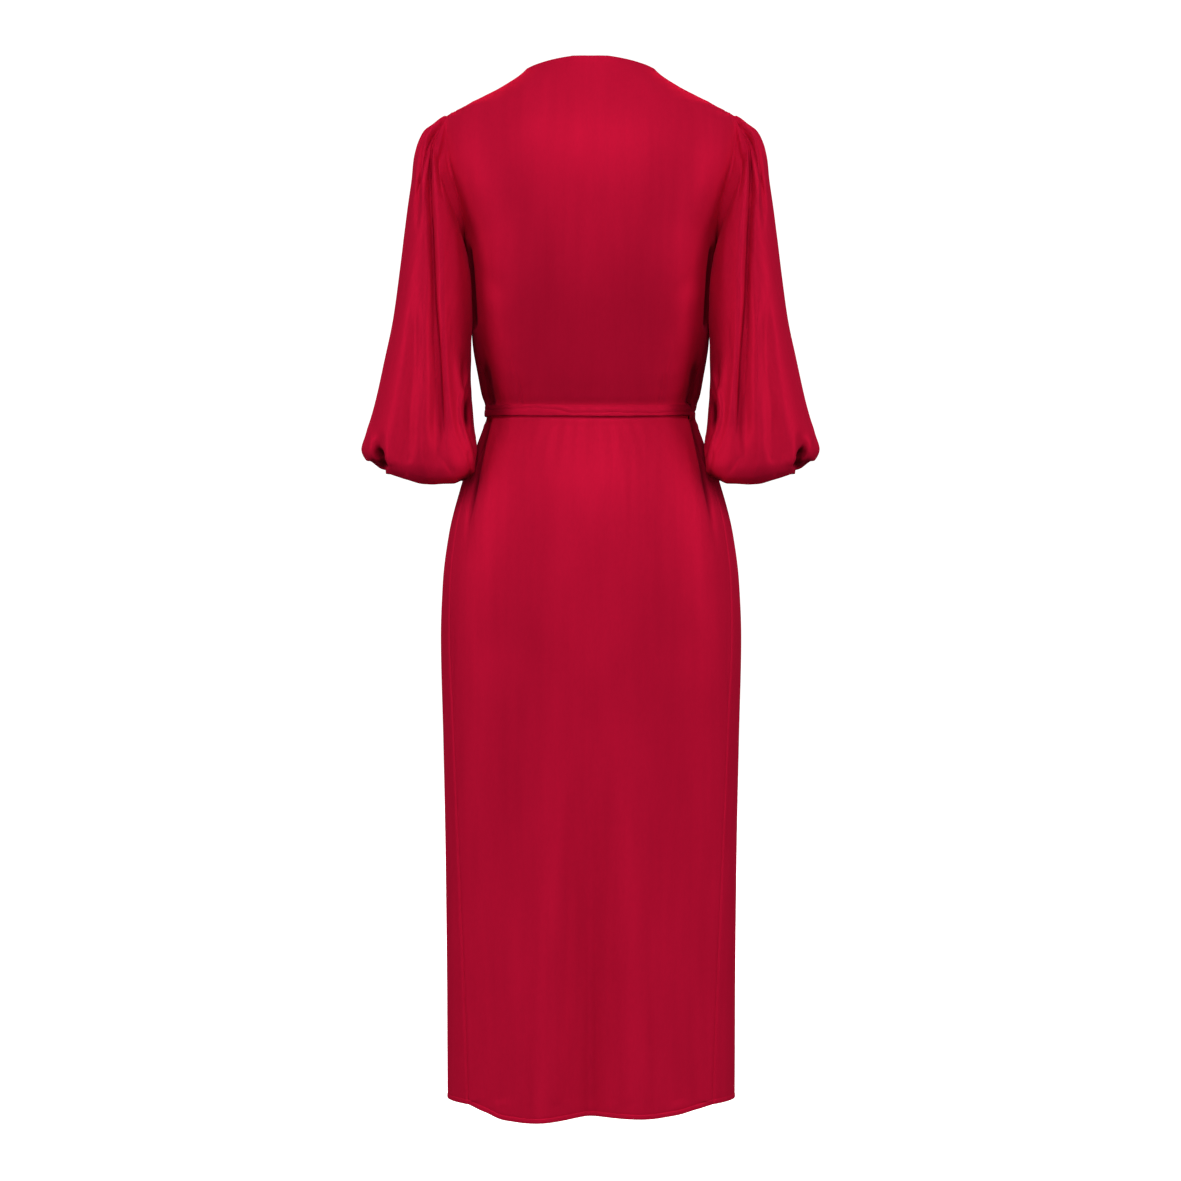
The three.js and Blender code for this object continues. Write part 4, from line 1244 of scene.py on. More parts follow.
@dataclass(frozen=True)
class SleeveForm:
    """The outer form of the wearer's left sleeve, by lengthwise line of the cloth and run down it."""

    gathers: CuffGathers = CuffGathers()
    square: float = 2.25
    clear: float = 2.0
    clear_ease: float = 1.2
    reach: float = 0.14
    tucked_until: float = 0.0055
    clear_from: float = 0.04
    clear_full: float = 0.12

    def section(self, angle: Array, run: Array) -> Array:
        """Return points of the plain cross-sections."""
        cos, sin = np.cos(angle), np.sin(angle)
        fullness = (np.abs(cos) ** self.square + np.abs(sin) ** self.square) ** (-1.0 / self.square)
        out_x, in_x = SLEEVE.read("outX", run), SLEEVE.read("inX", run)
        out_z, in_z = SLEEVE.read("outZ", run), SLEEVE.read("inZ", run)
        behind = sin >= 0.0
        depth = np.where(behind, SLEEVE.read("back", run), SLEEVE.read("front", run))
        deep_z = np.where(behind, SLEEVE.read("backZ", run), SLEEVE.read("frontZ", run))
        middle_z = (out_z + in_z) / 2.0
        x = (out_x + in_x) / 2.0 + (out_x - in_x) / 2.0 * cos * fullness
        z = middle_z + (out_z - in_z) / 2.0 * cos + (deep_z - middle_z) * sin * sin
        return np.stack([x, SLEEVE.read("shift", run) + depth * sin * fullness, z], axis=-1)

    def fold(self, line: Array, run: Array) -> Array:
        """Return how far pleats, folds and gathers move the cloth out."""
        angle = np.degrees(line)
        out = np.zeros(np.broadcast(line, run).shape)
        for fold in SLEEVE_FOLDS:
            reach = min(0.12, (fold.end - fold.start) / 3.0)
            along = ramp(run, fold.start, fold.start + reach) * ramp(run, fold.end, fold.end - reach)
            out = out + fold.depth * along * bump(turn_between(angle, fold.angle), fold.width)
        g = self.gathers
        gather = g.depth * ramp(run, g.start, g.full) - (g.depth - g.end_depth) * ramp(run, g.full, g.end)
        return out + gather * np.cos(g.count * line)

    def _clear_of_body(self, points: Array, gap: Array) -> Array:
        """Keep points clear of the body of the dress beside them."""
        y, z = points[..., 1], points[..., 2]
        share = np.abs(y) / np.where(y >= 0.0, BODY_FORM.size("back", z), BODY_FORM.size("front", z))
        square = BODY_FORM.size("square", z)
        inside = 1.0 - np.minimum(share, 1.0) ** square
        nearest = BODY_FORM.size("half", z) * inside ** (1.0 / square) + gap
        over = (points[..., 0] - nearest) / self.clear_ease
        moved = nearest + self.clear_ease * np.log1p(np.exp(np.minimum(over, FAR_OVER)))
        x = np.where((share < 1.0) & (over < FAR_OVER), moved, points[..., 0])
        return np.stack([x, y, z], axis=-1)

    def surface(self, line: Array, run: Array) -> Array:
        """Return points of the outer face."""
        angle = line + SLEEVE_SPREAD.read("spread", run) * np.sin(line)
        top = line + float(SLEEVE_SPREAD.read("spread", 0.0)) * np.sin(line)
        points = self.section(angle, run)
        zero = np.zeros_like(angle)
        middle = (self.section(zero, run) + self.section(zero + math.pi, run)) / 2.0
        outward = np.stack([points[..., 0] - middle[..., 0], points[..., 1], zero], axis=-1)
        outward /= np.maximum(np.linalg.norm(outward, axis=-1, keepdims=True), 1e-9)
        points = points + outward * self.fold(line, run)[..., None]
        leaving = 1.0 - ramp(run, 0.0, self.reach)
        turn = np.radians(turn_between(np.degrees(top), 0.0))
        edge = ARMHOLE.edge(turn, SEAM_GAP / 2.0 - SEAM_TUCK * ramp(run, self.tucked_until, 0.0))
        points = points + (edge - self.section(top, zero)) * leaving[..., None]
        gap = self.clear * ramp(run, self.clear_from, self.clear_full)
        return np.where((run > self.clear_from)[..., None], self._clear_of_body(points, gap), points)

    def normal(self, line: Array, run: Array) -> Array:
        """Return the outward direction of the face."""
        step, turn = 0.004, math.radians(0.6)
        along_run = self.surface(line, run + step) - self.surface(line, np.maximum(0.0, run - step))
        along_line = self.surface(line + turn, run) - self.surface(line - turn, run)
        normal = np.cross(along_run, along_line)
        return normal / np.maximum(np.linalg.norm(normal, axis=-1, keepdims=True), 1e-9)


SLEEVE_FORM = SleeveForm()


# Places down the run of a sleeve: the end of its pleated head, the start of its blouse, and its cuff.
HEAD_RUN, BLOUSE_RUN, CUFF_RUN = 0.2, 0.82, 1.12


@dataclass
class Sleeve:
    """A balloon sleeve: one tube, pleated into the armhole and gathered into its cuff."""

    word: str
    side: float
    cut: tuple[float, float]
    cut_area: float | None
    lines: int = 216
    rows: int = 62
    crowding: float = -0.34
    round_mm: float = 520.0
    tuck_depth: float = 1.2
    creases: Sequence[Crease] = ()
    ripples: Sequence[Ripples] = ()

    def cloth(self) -> Cloth:
        """Work out the sleeve's outer face, with its creases."""
        head = [0.0, 0.0015, 0.003, 0.0055, 0.009, *np.linspace(0.012, HEAD_RUN, self.rows)]
        arm = np.linspace(HEAD_RUN, BLOUSE_RUN, self.rows + 18)
        runs = np.unique(np.concatenate([head, arm, np.linspace(BLOUSE_RUN, CUFF_RUN, self.rows)]))
        even_lines = np.arange(self.lines) / self.lines * FULL_TURN
        lines = even_lines - self.crowding * np.sin(even_lines) + 1.5 * math.pi
        line, run = np.meshgrid(lines, runs)
        points, normals = SLEEVE_FORM.surface(line, run), SLEEVE_FORM.normal(line, run)
        closed = np.concatenate([points, points[:, :1]], axis=1)
        across, along = arcs(closed, 1), arcs(closed, 0)
        middle = across[:, -1:] / 2.0
        flat = np.stack([self.side * (across - middle), along], axis=-1)
        turned = np.array([self.side, 1.0, 1.0])
        points, normals = points * turned, normals * turned
        creased = crease_heights(self.creases, points, normals[..., 1]) * ramp(run, 0.0, 0.02)
        shares = (across[:, :-1] - middle) / across[:, -1:]
        for ripple in self.ripples:
            creased += ripple.heights(shares * self.round_mm, points[..., 2])
        creased += border_out(Border.SEAM, along[:, :-1] - SEAM_TUCK, across[:, :-1])
        creased -= self.tuck_depth * ramp(run, 0.0035, 0.0)
        creased = creased * (1.0 - ramp(run, 1.06, 1.1))
        cloth = Cloth(points, normals, flat, CLOTH, True).moved(creased).smoothed()
        # Painted shade: the sleeve's colour is darkened in its deep creases, a little less at the head.
        cloth.hollow = painted_crease_shade((1.25 * creased - 0.2) * (1.0 - 0.25 * ramp(run, 0.3, 0.12)))
        return cloth

    def build(self) -> bpy.types.Object:
        """Make the sleeve, hang it from the root and hide its solid."""
        return dress(shell(f"sleeve_{self.word}", self.cloth()))


@dataclass
class Cuff:
    """The narrow band that a sleeve is gathered into, a strip folded round to a ring."""

    word: str
    side: float
    centre: float = 197.0
    radius: float = 42.6
    top: float = -457.5
    bottom: float = -470.0
    columns: int = 180
    rows: int = 15
    thickness: float = 1.0
    cut: tuple[float, float] = (0.268, 0.0125)

    def cloth(self) -> Cloth:
        """Work out the cuff's outer face, a folded band that the gathers pull at."""
        heights = np.linspace(self.top, self.bottom, self.rows)
        angle, z = np.meshgrid(np.arange(self.columns) / self.columns * FULL_TURN, heights)
        share = (self.top - z) / (self.top - self.bottom)
        pull = np.cos(SLEEVE_FORM.gathers.count * angle + 0.8 * np.sin(3.0 * angle))
        puff = 0.35 * (np.sin(math.pi * share) ** 0.6 - 1.0) + 0.16 * pull * (1.0 - share) ** 1.5
        radius = self.radius + puff + 0.1 * np.sin(5.0 * angle + 2.0 * share)
        outward = np.stack([self.side * np.cos(angle), np.sin(angle), np.zeros_like(angle)], axis=-1)
        points = outward * radius[..., None] + np.array([self.side * self.centre, 0.0, 0.0])
        points[..., 2] = z + 0.12 * pull * (1.0 - share)
        closed = np.concatenate([points, points[:, :1]], axis=1)
        flat = np.stack([arcs(closed, 1), arcs(closed, 0)], axis=-1)
        return Cloth(points, outward, flat, self.thickness, True)

    def build(self) -> bpy.types.Object:
        """Make the cuff, hang it from the root and hide its solid."""
        return dress(shell(f"cuff_{self.word}", self.cloth()))


TIE_PATH = Table(
    "angle",
    ("out",),
    (
        (-120, -0.35),
        (-113, -0.6),
        (-98, -2),
        (-84, -2.1),
        (-77.2, -2.1),
        (-76.3, -1.7),
        (-73.7, 1.6),
        (-72.4, 1.9),
        (-66, 1.8),
        (116.5, 1.8),
    ),
)


SLOT_ANGLES = (-79.0, -71.0)  # where the long tie dives through the slot, with many columns


@dataclass
class BeltTie:
    """A flat tie of the belt along the waist, a narrow tube; the one through the slot is also twisted."""

    name: str
    cut: tuple[float, float]
    cut_area: float | None
    start: float
    end: float
    columns: int
    out: Callable[[Array], Array]
    through_slot: bool
    top: float = -390.0
    bottom: float = -403.0
    thickness: float = 0.9
    most_relief: float = 0.75

    def _relief(self, angle: Array, share: Array) -> Array:
        """Return how far the tie's creases stand out, by place round the waist and share of its width."""
        edge = -0.45 * bump(share, 0.07) - 0.45 * bump(share - 1.0, 0.07)
        if not self.through_slot:
            return edge + 0.15 * np.sin(angle / 5.0 + 4.0 * share)
        line = 0.52 - 0.16 * np.tanh((angle - 22.0) / 5.0)
        line = line + 0.05 * np.sin(angle / 9.0) - 0.03 * np.sin(angle / 3.1 + 1.0)
        strands = 0.30 * bump(share - (line - 0.24), 0.16) + 0.2 * bump(share - (line + 0.27), 0.16)
        fine = 0.035 * np.sin(angle / 1.9 + 9.0 * share) + 0.02 * np.sin(angle / 0.83 - 7.0 * share)
        fine = fine * ramp(np.abs(share - 0.5), 0.5, 0.3)
        lines = -0.16 * bump(share - 0.16 - 0.02 * np.sin(angle / 7.0), 0.035)
        lines = lines - 0.26 * bump(share - line, 0.06)
        return 1.1 * (share - 0.55) + edge + strands + lines + fine

    def cloth(self) -> Cloth:
        """Work out the tie's outer face."""
        angles = np.linspace(self.start, self.end, self.columns)
        if self.through_slot:
            angles = np.unique(np.concatenate([angles, np.linspace(*SLOT_ANGLES, 60)]))
        angle, share = np.meshgrid(angles, np.linspace(0.0, 1.0, 27))
        theta = np.radians(angle)
        level = np.full(theta.shape, WAIST_Z)
        ring, normals = BODY_FORM.surface(theta, level), BODY_FORM.normal(theta, level)
        relief = np.clip(self._relief(angle, share), -self.most_relief, self.most_relief)
        points = ring + normals * (self.out(angle) + relief)[..., None]
        drift = 0.35 * np.sin(angle / 17.0 + 0.6) + 0.15 * np.sin(angle / 6.3)
        drift = drift * ramp(np.abs(angle - sum(SLOT_ANGLES) / 2.0), 3.0, 14.0)
        points[..., 2] = self.top + (self.bottom - self.top) * share + drift - waist_drop(theta)
        flat = np.stack([arcs(points, 1), arcs(points, 0)], axis=-1)
        # Painted shade: a painted shadow line along the tie's lower edge, and darkness where it passes beside
        # the sleeves.
        shadow_line = 0.9 + 0.03 * np.sin(angle / 5.3) + 0.02 * np.sin(angle / 1.7)
        shade_beside_sleeve = ramp(np.abs(angle), 46.0, 78.0) * ramp(np.abs(angle), 112.0, 96.0)
        hollow = 0.75 * (ramp(share, shadow_line, 1.0) + shade_beside_sleeve)
        return Cloth(points, normals, flat, self.thickness, hollow=np.clip(hollow, 0.0, 0.9))

    def build(self) -> bpy.types.Object:
        """Make the tie, hang it from the root and hide its solid."""
        return dress(shell(self.name, self.cloth(), SATIN_RIGHT))


@dataclass
class BeltEnd:
    """A hanging end of the belt, a narrow tube of cloth that falls from the knot with a few soft turns."""

    name: str
    out: float
    bottom: float
    angle: float
    swing: float
    seed: int
    cut: tuple[float, float]
    cut_area: float | None
    top: float = -399.0
    width: float = 11.0
    rows: int = 200
    thickness: float = 0.9
    lift: float = 0.2
    most_relief: float = 0.35

    def cloth(self) -> Cloth:
        """Work out the end's outer face."""
        random = np.random.default_rng(self.seed)
        phases = random.uniform(0.0, FULL_TURN, 3)
        share = np.linspace(0.0, 1.0, self.rows)[:, None]
        across = np.linspace(-1.0, 1.0, 19)[None, :]
        z = self.top + (self.bottom - self.top) * share * (0.25 + 0.75 * share)
        middle = np.radians(self.angle + self.swing * np.sqrt(share) + 0.8 * np.sin(share * 7.0))
        narrow = 1.0 - 0.14 * bump(share, 0.06) + 0.03 * np.sin(share * 31.0 + phases[0])
        half = self.width / 2.0 / BODY_FORM.size("half", z) * narrow
        theta = middle + across * half
        z = z + 0.0 * across - 3.2 * across * ramp(share, 0.94, 1.0)
        points, normals = BODY_FORM.surface(theta, z), BODY_FORM.normal(theta, z)
        relief = 0.35 * (1.0 - across**2) * np.sin(share * 26.0 + phases[1])
        dent = bump(across - 0.25 * np.sin(share * 11.0 + phases[2]), 0.16) * ramp(share, 1.0, 0.8)
        relief = relief - 0.3 * dent - 0.3 * bump(np.abs(across) - 1.0, 0.12)
        lifted = self.out + self.lift + np.clip(relief, -self.most_relief, self.most_relief)
        points = points + normals * lifted[..., None]
        flat = np.stack([arcs(points, 1), arcs(points, 0)], axis=-1)
        return Cloth(points, normals, flat, self.thickness)

    def build(self) -> bpy.types.Object:
        """Make the end, hang it from the root and hide its solid."""
        return dress(shell(self.name, self.cloth(), SATIN_RIGHT))


@dataclass
class Knot:
    """The knot at the wearer's left front: one turn of the tie round the other, pulled tight."""

    angle: float = 118.6
    z: float = -396.0
    half: float = 12.0
    height: float = 9.0
    depth: float = 8.0
    out: float = 6.4
    flat_at: float = -0.3  # its back is flat there, by share of its depth
    columns: int = 96
    rows: int = 56

    def _shape(self, around: Array, up: Array) -> Array:
        """Return its points by angles round and from its front: a lump with a tie's turn over it."""
        x, y, lift = np.sin(up) * np.cos(around), np.sin(up) * np.sin(around), np.cos(up)
        slanted = x + 0.25 * y
        wrap = bump(slanted, 0.42) * ramp(lift, -0.2, 0.2)
        fine = 0.045 * np.sin(9.0 * (y + 0.3 * x)) * ramp(lift, 0.0, 0.4) * (1.0 - 0.5 * wrap)
        grooves = -0.13 * (bump(slanted - 0.52, 0.07) + bump(slanted + 0.5, 0.07)) * ramp(lift, -0.1, 0.3)
        size = 0.90 + 0.1 * wrap + fine + grooves + 0.03 * np.sin(14.0 * x + 3.0 * y) * wrap
        depth = (np.maximum(self.flat_at, lift * size) - self.flat_at) * self.depth / (1.0 - self.flat_at)
        return np.stack([x * size * self.half, y * size * self.height, depth], axis=-1)

    def _seated(self, local: Array) -> Array:
        """Return its points where it sits on the belt."""
        turn = math.radians(self.angle)
        theta, level = np.array([turn]), np.array([WAIST_Z])
        ring = BODY_FORM.surface(theta, level) + BODY_FORM.normal(theta, level) * self.out
        seat = np.array([ring[0, 0], ring[0, 1], self.z])
        out, upward = np.array([math.sin(turn), math.cos(turn), 0.0]), np.array([0.0, 0.0, 1.0])
        sideways = np.cross(upward, out)
        return seat + local[..., :1] * sideways + local[..., 1:2] * upward + local[..., 2:] * out

    def build(self) -> bpy.types.Object:
        """Make the knot, hang it from the root and hide its solid."""
        turn = np.arange(self.columns) / self.columns * FULL_TURN
        rise = np.linspace(0.0, math.pi, self.rows + 2)[1:-1]
        points = self._seated(self._shape(*np.meshgrid(turn, rise)))
        index = np.arange(self.rows * self.columns).reshape(self.rows, self.columns)
        index = np.concatenate([index, index[:, :1]], axis=1)
        across, along = np.meshgrid(np.append(turn, FULL_TURN) * self.half, rise * self.height)
        faces, uvs = quads_between(index, np.stack([across, along], axis=-1), True)
        poles = [points[0].mean(0), points[-1].mean(0)]
        points = np.concatenate([points.reshape(-1, 3), poles])
        inside, hollow = np.zeros(len(faces)), np.zeros(len(points))
        made = mesh_object("belt_knot", points, faces, uvs, inside, hollow, (SATIN_RIGHT,))
        self._close(made, index, self.rows * self.columns)
        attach(made, "root")
        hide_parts("belt_knot")
        return made

    def _close(self, made: bpy.types.Object, index: Array, first: int) -> None:
        """Close the two poles with triangles.

        Args:
            made: The knot.
            index: Its grid of vertices.
            first: The number of the first pole's vertex.
        """
        work = bmesh.new()
        work.from_mesh(made.data)
        work.verts.ensure_lookup_table()
        for ring, pole in ((index[0], first), (index[-1], first + 1)):
            for a, b in zip(ring, ring[1:]):
                face = work.faces.new([work.verts[int(a)], work.verts[int(b)], work.verts[pole]])
                face.smooth = True
        bmesh.ops.recalc_face_normals(work, faces=work.faces)
        work.to_mesh(made.data)
        work.free()


def armhole_rows(turns: int) -> Array:
    """Return heights up the armhole, close together at its bottom and top."""
    turn = np.linspace(0.0, math.pi, turns + 1)[1:-1]
    return ARMHOLE.middle - ARMHOLE.half_height * np.cos(turn)


def rising(*parts: Array | Sequence[float]) -> Array:
    """Join lists of heights into one rising list."""
    return np.unique(np.round(np.concatenate([np.asarray(part, float) for part in parts]), 4))


def bodice_rows(top: Array) -> Array:
    """Return the heights of a bodice panel's rows, from the waist seam up."""
    bottom = WAIST_Z + SEAM_GAP / 2.0
    return rising(
        bottom + np.array(NEAR_EDGE),
        np.arange(bottom + 7.0, UNDERARM_Z - 1.0, 3.0),
        [UNDERARM_Z],
        armhole_rows(64),
        [SHOULDER_Z],
        np.arange(SHOULDER_Z + 2.5, -1.5, 2.5),
        top,
    )


HEM_ROWS = (0.0, 0.5, 1.1, 1.9, 2.9, 3.9, 4.6, 5.1, 5.5, 5.9, 6.4, 7.2)  # above the hem, for its fold


def skirt_rows() -> Array:
    """Return the heights of a skirt panel's rows, from the hem up."""
    top = WAIST_Z - SEAM_GAP / 2.0
    return rising(
        HEM_Z + np.array(HEM_ROWS),
        np.arange(HEM_Z + 9.0, top - 34.0, 3.6),
        np.arange(top - 32.0, top - 6.0, 2.0),
        top - np.array(NEAR_EDGE),
    )


# Where creases fade as the cloth turns away from the camera: well inside the outline, and nowhere at all.
OFF_OUTLINE = (0.02, 0.4)
ALL_ROUND = (-1.2, -1.0)


def drape(
    path: tuple[tuple[float, float], ...], width: float, depth: float, fade: tuple[float, float]
) -> Crease:
    """Return a crease of the wrapped front, which has no mirror image."""
    return Crease(path, width, depth, fade, Face.FRONT, mirror=False)


WAIST_SIDE_CREASES = (
    Crease(
        ((131, -290), (126.5, -340), (121, -380), (118, -396)),
        7.0, -3.0, fade=(0.4, 0.02), turned=OFF_OUTLINE,
    ),
    Crease(((126, -330), (120, -370), (114, -396)), 8.0, -2.2, fade=(0.4, 0.02), turned=OFF_OUTLINE),
)
HIP_SIDE_CREASES = (
    Crease(
        ((119.5, -403), (125, -431), (131, -459), (136, -486), (142, -520), (149, -570)),
        3.6, -3.8, fade=(0.02, 0.55), turned=OFF_OUTLINE,
    ),
    Crease(
        ((123.5, -403), (130.5, -431), (138, -459), (144, -486), (150, -520)),
        4.0, -2.8, fade=(0.02, 0.6), turned=OFF_OUTLINE,
    ),
)
SHOULDER_CREASE = Crease(
    ((136, -34), (148, -39.5), (156, -43), (163, -47)), 6.0, -1.9, fade=(0.5, 0.05), turned=ALL_ROUND
)
BACK_BODICE_CREASES = (
    Crease(((79.5, -394), (83.5, -372), (89, -347), (95.5, -320)), 0.9, 0.5, fade=(0.01, 0.4)),
    Crease(((82, -394), (86, -372), (91.5, -347), (98, -320)), 1.1, -0.6, fade=(0.01, 0.4)),
    Crease(((77.5, -394), (81, -372), (86.5, -350)), 1.0, -0.4, fade=(0.01, 0.5)),
    Crease(((77, -394), (82, -368), (88, -342)), 6.0, -0.8, fade=(0.02, 0.6)),
    Crease(((91, -327), (94, -306), (96, -280)), 8.0, -0.5, fade=(0.4, 0.7)),
    Crease(((108, -391), (110, -378), (113, -362)), 2.6, -1.1, fade=(0.02, 0.6)),
    Crease(((115, -391), (117, -380), (121, -366)), 2.2, -1.3, fade=(0.02, 0.7)),
    Crease(((102, -391), (103, -381), (104, -371)), 2.2, -0.7, fade=(0.02, 0.7)),
    Crease(((118, -340), (96, -352), (60, -362)), 9.0, 0.6, fade=(0.4, 0.6)),
    Crease(((0, -382), (45, -381.5), (100, -380)), 4.5, 0.45, fade=(0.0, 0.25)),
    SHOULDER_CREASE,
    Crease(((58, -391), (57, -380), (55, -366)), 3.0, -0.45, fade=(0.02, 0.8)),
    Crease(((31, -391), (32, -381), (33, -370)), 3.4, -0.35, fade=(0.02, 0.8)),
    Crease(((140, -215), (128, -232), (108, -252), (80, -268)), 10.0, -0.9, fade=(0.3, 0.6)),
    Crease(((136, -245), (120, -270), (96, -292)), 9.0, 0.6, fade=(0.3, 0.6)),
    Crease(((-12, -391), (-14, -384), (-19, -372)), 2.8, -0.4, fade=(0.02, 0.8), mirror=False),
    *WAIST_SIDE_CREASES,
    Crease(
        ((143.6, -196), (142.8, -207), (139.4, -242), (137.6, -265), (135.8, -304)),
        2.8, -4.6, fade=(0.15, 0.1),
    ),
)
BACK_SKIRT_CREASES = (
    *HIP_SIDE_CREASES,
    Crease(((150, -650), (100, -672), (40, -666)), 36.0, -1.3, fade=(0.4, 0.4)),
    Crease(((110, -410), (113, -440), (119, -480), (127, -530)), 5.0, 0.9, fade=(0.15, 0.6)),
    Crease(((128, -412), (137, -445), (147, -490)), 3.4, 0.7, fade=(0.1, 0.6)),
    Crease(((160, -625), (161, -700), (162, -800), (161, -905)), 1.2, -0.55, fade=(0.3, 0.3)),
    Crease(((0, -740), (1, -820), (0, -1000), (0, -1205)), 8.0, -0.7, fade=(0.5, 0.0), mirror=False),
    Crease(((5, -780), (12, -900), (20, -1050), (27, -1205)), 9.0, -1.0, fade=(0.5, 0.0)),
    Crease(((34, -760), (36, -920), (38, -1205)), 12.0, 0.8, fade=(0.6, 0.0)),
    Crease(((96, -700), (99, -860), (104, -1205)), 12.0, -0.8, fade=(0.5, 0.0)),
    Crease(((129, -860), (131, -1000), (134, -1205)), 9.0, 0.9, fade=(0.5, 0.0)),
)
FRONT_CREASES = (
    drape(((-100, -391), (-72, -352), (-30, -300), (10, -250)), 8.0, -1.6, (0.05, 0.6)),
    drape(((-104, -391), (-90, -345), (-62, -290), (-30, -230)), 9.0, 1.4, (0.05, 0.6)),
    drape(((100, -391), (84, -350), (60, -300), (44, -240)), 8.0, -1.5, (0.05, 0.6)),
    drape(((108, -391), (100, -350), (88, -300), (84, -240)), 9.0, 1.3, (0.05, 0.6)),
    drape(((90, -391), (60, -371), (20, -362), (-30, -372)), 5.0, -1.2, (0.05, 0.6)),
    drape(((92, -391), (70, -360), (34, -335), (-10, -322)), 6.0, 1.1, (0.05, 0.6)),
    Crease(((118, -391), (115, -372), (112, -350)), 3.0, -1.2, fade=(0.02, 0.6), face=Face.FRONT),
    SHOULDER_CREASE,
    *WAIST_SIDE_CREASES,
    Crease(((88, -180), (80, -210), (74, -250)), 14.0, 1.4, fade=(0.4, 0.6), face=Face.FRONT),
)
FRONT_SKIRT_CREASES = (
    drape(((98, -404), (96, -500), (80, -700), (60, -1205)), 7.0, -3.0, (0.1, 0.0)),
    drape(((102, -404), (110, -500), (112, -700), (108, -1205)), 9.0, 2.0, (0.15, 0.1)),
    drape(((90, -404), (72, -480), (40, -620), (2, -860)), 9.0, -2.4, (0.05, 0.6)),
    drape(((88, -404), (55, -450), (6, -530), (-40, -640)), 9.0, 1.9, (0.05, 0.7)),
    drape(((84, -404), (44, -424), (-8, -462), (-60, -520)), 7.0, -1.6, (0.05, 0.7)),
    drape(((-70, -406), (-74, -520), (-78, -760), (-70, -1205)), 10.0, -2.0, (0.2, 0.0)),
    drape(((-30, -700), (-34, -900), (-36, -1205)), 12.0, 2.0, (0.4, 0.0)),
    Crease(((128, -412), (137, -445), (147, -500)), 3.6, -1.2, fade=(0.05, 0.6), face=Face.FRONT),
    *HIP_SIDE_CREASES,
)
